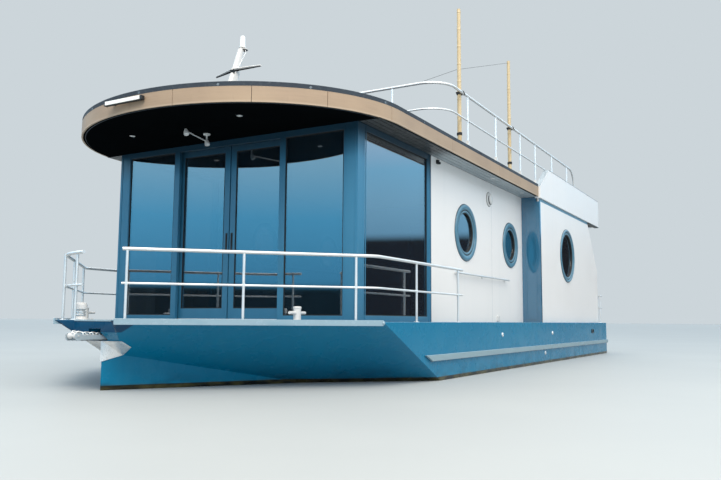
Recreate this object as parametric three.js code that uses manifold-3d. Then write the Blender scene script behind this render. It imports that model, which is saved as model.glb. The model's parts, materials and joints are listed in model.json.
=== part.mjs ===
// Flat-bottomed steel houseboat with a glazed saloon, a wider aft cabin and a walk-on roof.
// Millimetres. +X points to the bow, +Y to port and +Z up. The origin lies on the flat bottom,
// on the centreline, half way between the nose of the deck and the transom.
import * as THREE from 'three';
import { mergeVertices } from 'three/addons/utils/BufferGeometryUtils.js';
import Module from 'manifold-3d';

const wasm = await Module();
wasm.setup();

// Driving dimensions

const gap = 0.3;                    // clearance between pieces that touch

const hullLength = 13780;
const hullHalfBeam = 2470;
const deckZ = 1240;                 // deck above the flat bottom

const noseX = hullLength / 2;       // front edge of the deck
const sternX = -hullLength / 2;
const noseHalfWidth = 450;
const shoulderX = 4890;             // where the deck reaches its full beam
const flareRun = 1.5;               // the bow plates go inboard 1.5 for each 1 that they drop
const noseRun = 1.22;               // the same for the small raked plate under the nose
const stemX = 6630;                 // upright stem of the narrow lower hull
const stemHalfSlope = 0.59;         // its sides spread 0.59 for each 1 aft of the stem

const frontX = 4670;                // outer face of the saloon's glass front
const saloonHalfWidth = 2000;
const glazedEndX = 2570;            // side glass ends and the white side wall begins
const stepX = -1665;                // the aft cabin begins here and is wider
const aftHalfWidth = 2360;
const aftWallX = -5600;
const wingX = -6530;                // the aft cabin's side walls run on as wings to here
const wingKneeZ = 2500;
const wingTopX = -5640;
const wallThickness = 60;
const eaveZ = 3550;                 // top of the aft cabin's side walls
const soffitZ = 3640;
const fasciaTopZ = 3812;
const roofZ = 3875;
const roofHalfWidth = 2350;
const roofArcX = 4240;              // the sides are straight up to here, and a half ellipse follows
const roofReach = 2020;             // length of that half ellipse
const roofAftX = -6730;
const fasciaAftX = -1630;
const fasciaThickness = 40;

const railTopZ = 1975;
const railMidZ = 1620;
const roofRailZ = 4640;
const roofMidRailZ = 4260;
const roofRailY = 2318;

// Shapes

function toSolid(geometry) {
  const bare = geometry.clone();
  for (const name of Object.keys(bare.attributes)) {
    if (name !== 'position') bare.deleteAttribute(name);
  }
  const merged = mergeVertices(bare, 1e-3);
  return new wasm.Manifold(new wasm.Mesh({
    numProp: 3,
    vertProperties: new Float32Array(merged.attributes.position.array),
    triVerts: new Uint32Array(merged.index.array),
  }));
}

function toGeometry(solid) {
  const mesh = solid.getMesh();
  const geometry = new THREE.BufferGeometry();
  geometry.setAttribute('position', new THREE.BufferAttribute(mesh.vertProperties, 3));
  geometry.setIndex(new THREE.BufferAttribute(mesh.triVerts, 1));
  geometry.computeVertexNormals();
  return geometry;
}

function join(...geometries) {
  return toGeometry(geometries.map(toSolid).reduce((sum, next) => sum.add(next)));
}

function cut(base, ...tools) {
  return toGeometry(tools.map(toSolid).reduce((rest, tool) => rest.subtract(tool), toSolid(base)));
}

function overlap(first, second) {
  return toGeometry(toSolid(first).intersect(toSolid(second)));
}

function block(x0, x1, y0, y1, z0, z1) {
  return new THREE.BoxGeometry(x1 - x0, y1 - y0, z1 - z0)
    .translate((x0 + x1) / 2, (y0 + y1) / 2, (z0 + z1) / 2);
}

function extrude(outline, depth) {
  const shape = new THREE.Shape(outline.map(([u, v]) => new THREE.Vector2(u, v)));
  return new THREE.ExtrudeGeometry(shape, { depth, bevelEnabled: false });
}

// An outline in plan, raised from z0 to z1.
function prismZ(outline, z0, z1) {
  return extrude(outline, z1 - z0).translate(0, 0, z0);
}

// A side view in X and Z, spread from y0 to y1.
function prismY(outline, y0, y1) {
  return extrude(outline, y1 - y0).rotateX(Math.PI / 2).translate(0, y1, 0);
}

// A section in Y and Z, run from x0 to x1.
function prismX(outline, x0, x1) {
  const turn = new THREE.Matrix4().makeBasis(
    new THREE.Vector3(0, 1, 0), new THREE.Vector3(0, 0, 1), new THREE.Vector3(1, 0, 0));
  return extrude(outline, x1 - x0).applyMatrix4(turn).translate(x0, 0, 0);
}

function rod(from, to, radius, sides = 10) {
  const start = new THREE.Vector3(...from);
  const end = new THREE.Vector3(...to);
  const along = end.clone().sub(start);
  const up = new THREE.Vector3(0, 1, 0);
  const turn = new THREE.Quaternion().setFromUnitVectors(up, along.clone().normalize());
  const geometry = new THREE.CylinderGeometry(radius, radius, along.length(), sides);
  return geometry.applyQuaternion(turn).translate(...start.add(end).multiplyScalar(0.5).toArray());
}

// A path through the given points with each inner corner rounded over the length of the bend.
function roundedPath(points, bend, closed = false, bendSteps = 4) {
  const corners = points.map((p) => new THREE.Vector3(...p));
  const count = corners.length;
  const path = closed ? [] : [corners[0]];
  const bent = closed ? corners.keys() : [...corners.keys()].slice(1, -1);
  for (const k of bent) {
    const corner = corners[k];
    const start = corner.clone().add(corners[(k + count - 1) % count].clone().sub(corner).setLength(bend));
    const end = corner.clone().add(corners[(k + 1) % count].clone().sub(corner).setLength(bend));
    path.push(...new THREE.QuadraticBezierCurve3(start, corner, end).getPoints(bendSteps));
  }
  if (!closed) path.push(corners[count - 1]);
  return path;
}

// A round tube whose centre line is the path, with a ring of corners at each of its points.
function tube(path, radius, closed = false, sides = 8) {
  const count = path.length;
  const step = (k) => path[(k + 1) % count].clone().sub(path[k % count]).normalize();
  const tangents = path.map((_, k) => {
    if (!closed && k === 0) return step(0);
    if (!closed && k === count - 1) return step(count - 2);
    return step(k + count - 1).add(step(k)).normalize();
  });
  const carry = (u, from, to) => {
    const turn = new THREE.Quaternion().setFromUnitVectors(from, to);
    return u.clone().applyQuaternion(turn);
  };
  const sides0 = [new THREE.Vector3(0, 0, 1).cross(tangents[0])];
  if (sides0[0].length() < 0.1) sides0[0] = new THREE.Vector3(1, 0, 0).cross(tangents[0]);
  sides0[0].normalize();
  for (let k = 1; k < count; k += 1) sides0.push(carry(sides0[k - 1], tangents[k - 1], tangents[k]));
  let twist = 0;
  if (closed) {
    const back = carry(sides0[count - 1], tangents[count - 1], tangents[0]);
    twist = Math.atan2(back.clone().cross(sides0[0]).dot(tangents[0]), back.dot(sides0[0]));
  }
  const positions = [];
  const faces = [];
  for (let k = 0; k < count; k += 1) {
    const u = sides0[k].clone().applyAxisAngle(tangents[k], (twist * k) / count);
    const v = tangents[k].clone().cross(u);
    for (let j = 0; j < sides; j += 1) {
      const angle = (2 * Math.PI * j) / sides;
      const corner = path[k].clone()
        .addScaledVector(u, radius * Math.cos(angle))
        .addScaledVector(v, radius * Math.sin(angle));
      positions.push(...corner.toArray());
    }
  }
  const rings = closed ? count : count - 1;
  for (let k = 0; k < rings; k += 1) {
    for (let j = 0; j < sides; j += 1) {
      const a = k * sides + j;
      const b = k * sides + ((j + 1) % sides);
      const c = ((k + 1) % count) * sides + ((j + 1) % sides);
      const d = ((k + 1) % count) * sides + j;
      faces.push(a, b, c, a, c, d);
    }
  }
  if (!closed) {
    const end = (count - 1) * sides;
    for (let j = 1; j < sides - 1; j += 1) faces.push(0, j + 1, j, end, end + j, end + j + 1);
  }
  const geometry = new THREE.BufferGeometry();
  geometry.setAttribute('position', new THREE.Float32BufferAttribute(positions, 3));
  geometry.setIndex(faces);
  return geometry;
}

function mirrored(geometry) {
  const solid = toSolid(geometry).mirror([0, 1, 0]);
  return toGeometry(solid);
}

// Colours

function paint(color, roughness, metalness = 0) {
  return new THREE.MeshStandardMaterial({ color, roughness, metalness });
}
const looks = {
  hullBlue: paint('#4d8099', 0.4),
  frameBlue: paint('#3c5a70', 0.4),
  wallWhite: paint('#dfe3e6', 0.45),
  railGrey: paint('#a9b4ba', 0.5),
  steel: paint('#c3c8ca', 0.3, 1),
  fasciaBrown: paint('#8a7462', 0.6),
  membrane: paint('#2b3036', 0.8),
  glass: new THREE.MeshStandardMaterial({
    color: '#5f7480', roughness: 0.08, transparent: true, opacity: 0.4,
  }),
  bamboo: paint('#c89f52', 0.6),
  plastic: paint('#1c1f22', 0.6),
  lampWhite: paint('#e8ecee', 0.4),
  wood: paint('#a67c52', 0.6),
  engine: paint('#2d3338', 0.4),
};

const group = new THREE.Group();

function add(name, geometry, material) {
  const mesh = new THREE.Mesh(geometry, material);
  mesh.name = name;
  group.add(mesh);
  return mesh;
}

function addPair(stem, geometry, material) {
  add(`${stem}_port`, geometry, material);
  add(`${stem}_starboard`, mirrored(geometry), material);
}

// Hull

// Direction across the port deck edge at the bow, pointing outboard.
const bowEdge = new THREE.Vector2(shoulderX - noseX, hullHalfBeam - noseHalfWidth).normalize();
const bowOut = new THREE.Vector2(bowEdge.y, -bowEdge.x);

// The point of the deck a stated way along the port bow edge, moved inboard.
function bowPoint(along, inboard) {
  const x = noseX + along * (shoulderX - noseX) - inboard * bowOut.x;
  const y = noseHalfWidth + along * (hullHalfBeam - noseHalfWidth) - inboard * bowOut.y;
  return [x, y];
}

// Everything outside a plate that starts at the port bow edge and goes inboard as it drops.
function bowPlateCutter(outward) {
  const far = 4000;
  const drop = deckZ + 200;
  const shift = outward * Math.hypot(1, flareRun);
  const profile = [[shift, deckZ], [far, deckZ], [far, -200], [shift - drop * flareRun, -200]];
  const [x, y] = bowPoint(0.5, 0);
  return prismY(profile, -far, far).rotateZ(Math.atan2(bowOut.y, bowOut.x)).translate(x, y, 0);
}

// The hull without its motor well, with the plates of the bow moved outward.
function plainHull(outward) {
  const beam = hullHalfBeam;
  const deckOutline = [
    [sternX, -beam], [shoulderX + outward, -beam], [noseX + outward, -noseHalfWidth],
    [noseX + outward, noseHalfWidth], [shoulderX + outward, beam], [sternX, beam],
  ];
  const portCutter = bowPlateCutter(outward);
  const noseShift = noseX + outward * Math.hypot(1, noseRun);
  const noseCutter = prismY([
    [noseShift, deckZ], [noseShift + 3000, deckZ], [noseShift + 3000, -200],
    [noseShift - (deckZ + 200) * noseRun, -200],
  ], -2000, 2000);
  const raked = cut(prismZ(deckOutline, 0, deckZ), portCutter, mirrored(portCutter), noseCutter);
  const tipX = stemX + (outward * Math.hypot(1, stemHalfSlope)) / stemHalfSlope;
  const lowerHalf = beam - 20;
  const lowerAftX = tipX - lowerHalf / stemHalfSlope;
  const lower = prismZ([[tipX, 0], [lowerAftX, lowerHalf], [lowerAftX, -lowerHalf]], 0, deckZ - 20);
  return join(raked, lower);
}

// A well for the motor in the stern. The nose has a splayed notch with a pocket for the bow roller.
const motorWell = { length: 540, halfWidth: 380, floorZ: 850 };
const noseNotch = { backX: 6738, backHalf: 317, mouthHalf: 412, z0: 1080 };
const nosePocket = { x0: 6400, halfWidth: 90, z0: 1030, z1: 1150 };
function hullSolid() {
  const { length, halfWidth, floorZ } = motorWell;
  const { backX, backHalf, mouthHalf } = noseNotch;
  const well = block(sternX - 10, sternX + length, -halfWidth, halfWidth, floorZ, deckZ + 10);
  const notch = prismZ([
    [backX, -backHalf], [noseX + 10, -mouthHalf], [noseX + 10, mouthHalf], [backX, backHalf],
  ], noseNotch.z0, deckZ + 10);
  const pocket = block(nosePocket.x0, noseX + 10, -nosePocket.halfWidth, nosePocket.halfWidth,
    nosePocket.z0, nosePocket.z1);
  return cut(plainHull(0), well, notch, pocket);
}
add('hull', hullSolid(), looks.hullBlue);

// Rub rail: a flat bar along the side, pointed where it meets the bow plate.
const rubRail = { frontX: 3820, tipRun: 190, z0: 756, z1: 834, depth: 35 };
addPair('rub_rail', prismY([
  [sternX, rubRail.z0], [rubRail.frontX - rubRail.tipRun, rubRail.z0],
  [rubRail.frontX, rubRail.z1], [sternX, rubRail.z1],
], hullHalfBeam + gap, hullHalfBeam + rubRail.depth), looks.railGrey);

// Steel chafe plate that wraps the stem and the plates beside it.
const chafe = { thickness: 8, tipZ: 800, sideZ: 955, topZ: 1020, halfWidth: 270 };
add('stem_chafe_plate', cut(
  overlap(plainHull(chafe.thickness), prismX([
    [0, chafe.tipZ], [chafe.halfWidth, chafe.sideZ], [chafe.halfWidth, chafe.topZ],
    [-chafe.halfWidth, chafe.topZ], [-chafe.halfWidth, chafe.sideZ],
  ], stemX - 600, noseX + 300)),
  plainHull(gap),
), looks.steel);

// Foredeck fittings

// Bow roller: a channel that leads the anchor chain out through the nose, with its roller at the end.
const roller = { x1: 7040, halfWidth: 75, cheek: 10, height: 90, radius: 32 };
function bowRoller() {
  const { x1, halfWidth, cheek, height, radius } = roller;
  const x0 = nosePocket.x0 + gap;
  const z0 = nosePocket.z0 + gap;
  const axleZ = z0 + cheek + radius + 6;
  const channel = cut(block(x0, x1, -halfWidth, halfWidth, z0, z0 + height),
    block(x0 - 10, x1 + 10, cheek - halfWidth, halfWidth - cheek, z0 + cheek, z0 + height + 10));
  const axleX = x1 - radius;
  const wheel = rod([axleX, 1 - halfWidth, axleZ], [axleX, halfWidth - 1, axleZ], radius, 16);
  return join(channel, wheel);
}
add('bow_roller', bowRoller(), looks.steel);
// Windlass: a capstan with its drum upright, behind the starboard horn of the nose.
const windlass = {
  x: 6560, y: -444, baseRadius: 85, baseHeight: 40, waistRadius: 50, headZ: 120, headRadius: 72, height: 195,
};
function windlassSolid() {
  const { x, y, baseRadius, baseHeight, waistRadius, headZ, headRadius, height } = windlass;
  return join(
    rod([x, y, deckZ + gap], [x, y, deckZ + baseHeight], baseRadius, 16),
    rod([x, y, deckZ + baseHeight - 5], [x, y, deckZ + headZ + 5], waistRadius, 14),
    rod([x, y, deckZ + headZ], [x, y, deckZ + height], headRadius, 16));
}
add('windlass', windlassSolid(), looks.lampWhite);

// Cross bollards on the bow and flat cleats at the stern.
const bollard = { x: 5446, y: 1695, radius: 42, height: 165, barZ: 95, barHalf: 150, barRadius: 17 };
function bollardSolid() {
  const { x, y, radius, height, barHalf, barRadius } = bollard;
  const barZ = deckZ + bollard.barZ;
  return join(
    block(x - 90, x + 90, y - 60, y + 60, deckZ + gap, deckZ + 10),
    rod([x, y, deckZ + 5], [x, y, deckZ + height], radius, 14),
    rod([x - barHalf, y, barZ], [x + barHalf, y, barZ], barRadius, 8));
}
addPair('bow_bollard', bollardSolid(), looks.steel);

const cleat = { x: -6700, y: 2150 };
addPair('stern_cleat', join(
  block(cleat.x - 60, cleat.x + 60, cleat.y - 30, cleat.y + 30, deckZ + gap, deckZ + 12),
  rod([cleat.x - 35, cleat.y, deckZ + 8], [cleat.x - 35, cleat.y, deckZ + 70], 12, 8),
  rod([cleat.x + 35, cleat.y, deckZ + 8], [cleat.x + 35, cleat.y, deckZ + 70], 12, 8),
  rod([cleat.x - 110, cleat.y, deckZ + 70], [cleat.x + 110, cleat.y, deckZ + 70], 15, 8),
), looks.lampWhite);

// Bow rails: a top and a middle tube on posts along the deck edge.
// The starboard one runs on across the nose behind the notch.
const bowRail = {
  radius: 19, midRadius: 13, inboard: 50, frontAlong: 0.02, sideY: 2390, aftX: 2370, bend: 150,
  postRadius: 13, postFlange: 36, noseRunX: 6690, noseEndY: 282, nosePostY: 373, cornerPost: 0.105,
};
const bowPosts = [0.037, 0.457, 0.893];
const sidePosts = [3870, 2530];
function bowRailSolid(acrossNose) {
  const { radius, midRadius, inboard, frontAlong, sideY, aftX, bend, postRadius, postFlange } = bowRail;
  const kneeAlong = (sideY + inboard * bowOut.y - noseHalfWidth) / (hullHalfBeam - noseHalfWidth);
  const { noseRunX, noseEndY, nosePostY } = bowRail;
  const cornerAlong = (noseX - inboard * bowOut.x - noseRunX) / (noseX - shoulderX);
  const front = acrossNose
    ? [[noseRunX, noseEndY], bowPoint(cornerAlong, inboard)]
    : [bowPoint(frontAlong, inboard)];
  const line = [...front, bowPoint(kneeAlong, inboard), [aftX, sideY]];
  const railAt = (z, tubeRadius) => tube(roundedPath(line.map(([x, y]) => [x, y, z]), bend), tubeRadius);
  const feet = [
    ...(acrossNose ? [[noseRunX, nosePostY]] : []),
    bowPoint(acrossNose ? bowRail.cornerPost : bowPosts[0], inboard),
    ...bowPosts.slice(1).map((along) => bowPoint(along, inboard)),
    ...sidePosts.map((x) => [x, sideY]),
  ];
  const posts = feet.flatMap(([x, y]) => [
    rod([x, y, deckZ + gap], [x, y, railTopZ], postRadius, 8),
    rod([x, y, deckZ + gap], [x, y, deckZ + 10], postFlange, 10),
  ]);
  return join(railAt(railTopZ, radius), railAt(railMidZ, midRadius), ...posts);
}
add('bow_rail_port', bowRailSolid(false), looks.steel);
add('bow_rail_starboard', mirrored(bowRailSolid(true)), looks.steel);

// Grab rail along the white side wall.
const grab = { x0: -700, x1: 1770, y: 2055, z: 1990, radius: 16 };
addPair('grab_rail', join(
  rod([grab.x0, grab.y, grab.z], [grab.x1, grab.y, grab.z], grab.radius, 8),
  ...[0.04, 0.5, 0.96].map((t) => {
    const x = grab.x0 + t * (grab.x1 - grab.x0);
    return rod([x, saloonHalfWidth + gap, grab.z], [x, grab.y, grab.z], 10, 8);
  }),
), looks.steel);

// Saloon

const front = {
  depth: 50, cornerWidth: 200, stile: [850, 940], sillTopZ: deckZ + 70, headZ: 3560,
  trackDepth: 80, trackHeight: 20,
};
const leaf = {
  centreX: 4580, thickness: 40, innerY: 8, outerY: 905, bottomZ: 1268, topZ: 3574, stile: 88, bottomRail: 132,
};
const pane = 16;                    // thickness of the glass

function saloonFront() {
  const x1 = frontX;
  const x0 = x1 - front.depth;
  const halfW = saloonHalfWidth;
  const bottom = deckZ + gap;
  const top = soffitZ - gap;
  const [stileIn, stileOut] = front.stile;
  const glassOut = halfW - front.cornerWidth;
  const frame = cut(
    block(x0, x1, -halfW, halfW, bottom, top),
    block(x0 - 5, x1 + 5, stileOut, glassOut, front.sillTopZ, front.headZ),
    block(x0 - 5, x1 + 5, -glassOut, -stileOut, front.sillTopZ, front.headZ),
    block(x0 - 5, x1 + 5, -stileIn, stileIn, deckZ + front.trackHeight, front.headZ),
  );
  const backX = x0 - front.trackDepth;
  return join(frame,
    block(backX, x0 + 1, -halfW, halfW, bottom, deckZ + front.trackHeight),
    block(backX, x0 + 1, -halfW, halfW, leaf.topZ + 6, top),
    block(backX, x0 + 1, halfW - 90, halfW, bottom, top),
    block(backX, x0 + 1, -halfW, 90 - halfW, bottom, top));
}
add('saloon_front', saloonFront(), looks.frameBlue);

const frontPaneX = frontX - front.depth / 2;
addPair('front_pane', block(frontPaneX - pane / 2, frontPaneX + pane / 2,
  front.stile[1] + gap, saloonHalfWidth - front.cornerWidth - gap,
  front.sillTopZ + gap, front.headZ - gap), looks.glass);

function doorLeaf() {
  const { innerY, outerY, bottomZ, topZ, stile, bottomRail } = leaf;
  const x0 = leaf.centreX - leaf.thickness / 2;
  const x1 = leaf.centreX + leaf.thickness / 2;
  return cut(
    block(x0, x1, innerY, outerY, bottomZ, topZ),
    block(x0 - 5, x1 + 5, innerY + stile, outerY - stile, bottomZ + bottomRail, topZ - stile));
}
addPair('sliding_door', doorLeaf(), looks.frameBlue);
addPair('sliding_door_glass', block(leaf.centreX - pane / 2, leaf.centreX + pane / 2,
  leaf.innerY + leaf.stile + gap, leaf.outerY - leaf.stile - gap,
  leaf.bottomZ + leaf.bottomRail + gap, leaf.topZ - leaf.stile - gap), looks.glass);

// Large side window between the front corner and the white wall.
const sideWindow = { x0: 2690, x1: 4530, z0: 1315, z1: 3560 };
const sideFrontX = frontX - front.depth - front.trackDepth - gap;
const saloonInnerY = saloonHalfWidth - wallThickness;
addPair('side_window_frame', cut(
  block(glazedEndX + gap, sideFrontX, saloonInnerY, saloonHalfWidth, deckZ + gap, soffitZ - gap),
  block(sideWindow.x0, sideFrontX - 40, saloonInnerY - 5, saloonHalfWidth + 5, sideWindow.z0, sideWindow.z1),
), looks.frameBlue);
addPair('side_window', block(sideWindow.x0 + gap, sideFrontX - 40 - gap,
  saloonHalfWidth - 40, saloonHalfWidth - 40 + pane, sideWindow.z0 + gap, sideWindow.z1 - gap), looks.glass);

// Round windows: outer radius of the ring, and the hole that it covers in its wall.
const porthole = { z: 2650, ringDepth: 26, hub: 60 };
const portholes = [
  { name: 'porthole_saloon_fore', x: 1243, radius: 450, ringWidth: 135, wallY: saloonHalfWidth },
  { name: 'porthole_saloon_aft', x: -947, radius: 412, ringWidth: 135, wallY: saloonHalfWidth },
  { name: 'porthole_cabin', x: -3650, radius: 562, ringWidth: 107, wallY: aftHalfWidth },
];

function disc(x, y0, y1, z, radius, sides = 40) {
  return rod([x, y0, z], [x, y1, z], radius, sides);
}

function wallWithPortholes(outline, wallY) {
  const wall = prismY(outline, wallY - wallThickness, wallY);
  const holes = portholes.filter((hole) => hole.wallY === wallY)
    .map(({ x, radius }) => disc(x, wallY - wallThickness - 5, wallY + 5, porthole.z, radius - porthole.hub));
  return cut(wall, ...holes);
}

addPair('saloon_side_wall', wallWithPortholes([
  [stepX + gap, deckZ + gap], [glazedEndX, deckZ + gap],
  [glazedEndX, soffitZ - gap], [stepX + gap, soffitZ - gap],
], saloonHalfWidth), looks.wallWhite);

// Bulkhead at the step: its outer strips face forward on each side deck.
const bulkheadDoor = { halfWidth: 400, topZ: 3240 };
function stepBulkhead() {
  const x0 = stepX - wallThickness;
  return cut(join(
    block(x0, stepX, -aftHalfWidth, aftHalfWidth, deckZ + gap, eaveZ - gap),
    block(x0, stepX, -roofInner, roofInner, eaveZ - 50, soffitZ - gap),
  ), block(x0 - 5, stepX + 5, -bulkheadDoor.halfWidth, bulkheadDoor.halfWidth, deckZ - 5, bulkheadDoor.topZ));
}
const roofInner = 2279;
add('step_bulkhead', stepBulkhead(), looks.frameBlue);

// Aft cabin

addPair('cabin_side_wall', wallWithPortholes([
  [stepX - wallThickness - gap, deckZ + gap], [stepX - wallThickness - gap, eaveZ - gap],
  [wingTopX, eaveZ - gap], [wingX, wingKneeZ], [wingX, deckZ + gap],
], aftHalfWidth), looks.wallWhite);

for (const hole of portholes) {
  const { x, radius, wallY } = hole;
  const ring = join(
    disc(x, wallY + gap, wallY + porthole.ringDepth, porthole.z, radius),
    disc(x, wallY - wallThickness, wallY + 5, porthole.z, radius - porthole.hub - gap));
  const inner = radius - hole.ringWidth;
  const dish = cut(ring,
    disc(x, wallY - 10, wallY + porthole.ringDepth + 5, porthole.z, inner),
    disc(x, wallY - wallThickness - 5, wallY - 26, porthole.z, inner));
  addPair(hole.name, dish, looks.frameBlue);
}

const sternDoor = { y0: 300, y1: 1060, topZ: 3230, thickness: 40 };
function aftWall() {
  const x0 = aftWallX - wallThickness;
  const half = aftHalfWidth - wallThickness - gap;
  return cut(join(
    block(x0, aftWallX, -half, half, deckZ + gap, eaveZ - gap),
    block(x0, aftWallX, -roofInner, roofInner, eaveZ - 50, soffitZ - gap),
  ), block(x0 - 5, aftWallX + 5, sternDoor.y0, sternDoor.y1, deckZ - 5, sternDoor.topZ));
}
add('aft_wall', aftWall(), looks.wallWhite);
add('stern_door', block(aftWallX - 50, aftWallX - 50 + sternDoor.thickness,
  sternDoor.y0 + 6, sternDoor.y1 - 6, deckZ + 8, sternDoor.topZ - 6), looks.frameBlue);

// Roof

// Roof outline in plan, moved inboard: straight sides and a half ellipse in front.
function roofOutline(aftX, inset, arcSteps = 40) {
  const half = roofHalfWidth - inset;
  const reach = roofReach - inset;
  const arc = [...Array(arcSteps + 1).keys()].map((k) => {
    const angle = Math.PI * (k / arcSteps - 0.5);
    return [roofArcX + reach * Math.cos(angle), half * Math.sin(angle)];
  });
  return [[aftX, -half], ...arc, [aftX, half]];
}

function roofSlab() {
  const core = prismZ(roofOutline(fasciaAftX, fasciaThickness + gap), soffitZ, roofZ);
  const rim = prismZ(roofOutline(fasciaAftX, 0), fasciaTopZ + gap, roofZ);
  const aft = block(roofAftX + 80 + gap, fasciaAftX + 50, -roofInner, roofInner, soffitZ, roofZ);
  return join(core, rim, aft);
}
add('roof', roofSlab(), looks.membrane);

add('roof_fascia', cut(
  prismZ(roofOutline(fasciaAftX, 0), soffitZ, fasciaTopZ),
  prismZ(roofOutline(fasciaAftX - 100, fasciaThickness), soffitZ - 5, fasciaTopZ + 5),
), looks.fasciaBrown);

// Parapet round the aft roof: high white sides with a sloping front end, and a low stern beam.
const parapet = { outerY: 2385, innerY: 2279.4, topZ: 4250, bottomZ: 3610, slopeX: -2250, frontTopZ: 3830 };
function parapetSolid() {
  const { outerY, innerY, topZ, bottomZ, slopeX, frontTopZ } = parapet;
  const x1 = fasciaAftX - gap;
  const board = [[roofAftX, bottomZ], [x1, bottomZ], [x1, frontTopZ], [slopeX, topZ], [roofAftX, topZ]];
  const eave = [[wingTopX, eaveZ], [x1 - 60, eaveZ], [x1 - 60, bottomZ + 5], [wingTopX, bottomZ + 5]];
  const side = join(
    prismY(board, innerY, outerY),
    prismY(eave, aftHalfWidth - wallThickness, aftHalfWidth - 10));
  const stern = block(roofAftX, roofAftX + 80, -outerY, outerY, bottomZ, topZ);
  const ladderGap = block(roofAftX - 5, roofAftX + 85, -1700, -1100, roofZ, topZ + 5);
  return join(side, mirrored(side), cut(stern, ladderGap));
}
add('roof_parapet', parapetSolid(), looks.wallWhite);

// Roof rail: two tubes across the front of the walk-on roof and aft along both sides, in three lengths.
const roofRail = { crossX: 2820, bend: 380, dropX: -4560, radius: 19, postRadius: 16, jointY: 1800 };
const roofRailPosts = [1920, 670, -630, -1560];
const parapetPosts = [-2730, -3930];
const crossPosts = [-1500, -500, 500, 1500];

function roofRailSide() {
  const { crossX, bend, dropX, radius, postRadius, jointY } = roofRail;
  const y = roofRailY;
  const z = roofRailZ;
  const top = tube(roundedPath([
    [crossX, jointY, z], [crossX, y, z], [dropX, y, z], [dropX, y, parapet.topZ + gap],
  ], bend, false, 6), radius);
  const mid = tube(roundedPath([
    [crossX, jointY, roofMidRailZ], [crossX, y, roofMidRailZ], [parapet.slopeX + 30, y, roofMidRailZ],
  ], bend, false, 6), radius - 3);
  const roofFeet = roofRailPosts.flatMap((x) => [
    rod([x, y, roofZ + gap], [x, y, z], postRadius, 8),
    block(x - 55, x + 55, y - 45, roofHalfWidth - 1, roofZ + gap, roofZ + 12),
  ]);
  const parapetFeet = parapetPosts.map((x) => rod([x, y, parapet.topZ + gap], [x, y, z], postRadius, 8));
  return join(top, mid, ...roofFeet, ...parapetFeet);
}
addPair('roof_rail', roofRailSide(), looks.steel);

function roofRailCross() {
  const { crossX, radius, postRadius, jointY } = roofRail;
  const y = jointY - gap;
  const posts = crossPosts.flatMap((postY) => [
    rod([crossX, postY, roofZ + gap], [crossX, postY, roofRailZ], postRadius, 8),
    block(crossX - 50, crossX + 50, postY - 50, postY + 50, roofZ + gap, roofZ + 12),
  ]);
  return join(
    rod([crossX, -y, roofRailZ], [crossX, y, roofRailZ], radius, 8),
    rod([crossX, -y, roofMidRailZ], [crossX, y, roofMidRailZ], radius - 3, 8),
    ...posts);
}
add('roof_rail_cross', roofRailCross(), looks.steel);

// Bamboo poles lashed to the inside of the roof rail on the port side.
const poles = [
  { name: 'bamboo_pole_fore', x: 2110, topZ: 5950 },
  { name: 'bamboo_pole_aft', x: -210, topZ: 5870 },
];
const poleRadius = 37;
for (const pole of poles) {
  const y = roofRailY - roofRail.radius - poleRadius - 1;
  add(pole.name, rod([pole.x, y, roofZ + gap], [pole.x, y, pole.topZ], poleRadius, 14), looks.bamboo);
}

// Folding mast with a crosstree and a lamp, on a foot near the front of the roof.
const mast = {
  x: 4740, hingeZ: roofZ + 110, topZ: 4960, rake: 0.3,
  bottomHalf: 50, wideZ: 4150, wideHalf: 95, topHalf: 45,
  lowerY: 50, upperY: 32, upperZ: 4700, lugY0: 56, lugY1: 72, lugHalf: 60,
};
add('mast_foot', join(
  block(mast.x - 130, mast.x + 130, -110, 110, roofZ + gap, roofZ + 14),
  block(mast.x - mast.lugHalf, mast.x + mast.lugHalf, -mast.lugY1, -mast.lugY0, roofZ + 10, mast.hingeZ + 45),
  block(mast.x - mast.lugHalf, mast.x + mast.lugHalf, mast.lugY0, mast.lugY1, roofZ + 10, mast.hingeZ + 45),
), looks.lampWhite);

// The mast is a raked fin that is broadest above its hinge, with swept arms, a platform and the lamp.
const crosstree = {
  z: 4610, thickness: 28, armOut: 386, tipX: 4520, tipChord: 50, frontX: 4640, rootY: 40, notchX: 4560,
};
const mastLamp = { x: 4420, platformRadius: 70, radius: 41, z1: 5155 };
function mastSolid() {
  const at = (z) => mast.x - (z - mast.hingeZ) * mast.rake;
  const bottom = mast.hingeZ - 40;
  const { bottomHalf, wideZ, wideHalf, topHalf, topZ, lowerY, upperY, upperZ } = mast;
  const outline = [
    [at(bottom) - bottomHalf, bottom], [at(bottom) + bottomHalf, bottom], [at(wideZ) + wideHalf, wideZ],
    [at(topZ) + topHalf, topZ], [at(topZ) - topHalf, topZ], [at(wideZ) - wideHalf, wideZ],
  ];
  const taper = prismX([
    [-lowerY, bottom], [lowerY, bottom], [lowerY, wideZ], [upperY, upperZ], [upperY, topZ],
    [-upperY, topZ], [-upperY, upperZ], [-lowerY, wideZ],
  ], at(topZ) - 200, at(bottom) + 200);
  const stem = overlap(prismY(outline, -lowerY, lowerY), taper);
  const { z, thickness, armOut, tipX, tipChord, frontX, rootY, notchX } = crosstree;
  const tree = prismZ([
    [frontX, -rootY], [tipX, -armOut], [tipX - tipChord, -armOut], [notchX, 0],
    [tipX - tipChord, armOut], [tipX, armOut], [frontX, rootY],
  ], z, z + thickness);
  const lamp = join(
    rod([mastLamp.x, 0, topZ - 5], [mastLamp.x, 0, topZ + 20], mastLamp.platformRadius, 14),
    rod([mastLamp.x, 0, topZ + 15], [mastLamp.x, 0, mastLamp.z1], mastLamp.radius, 14));
  return join(stem, tree, lamp);
}
add('nav_mast', mastSolid(), looks.lampWhite);

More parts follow.
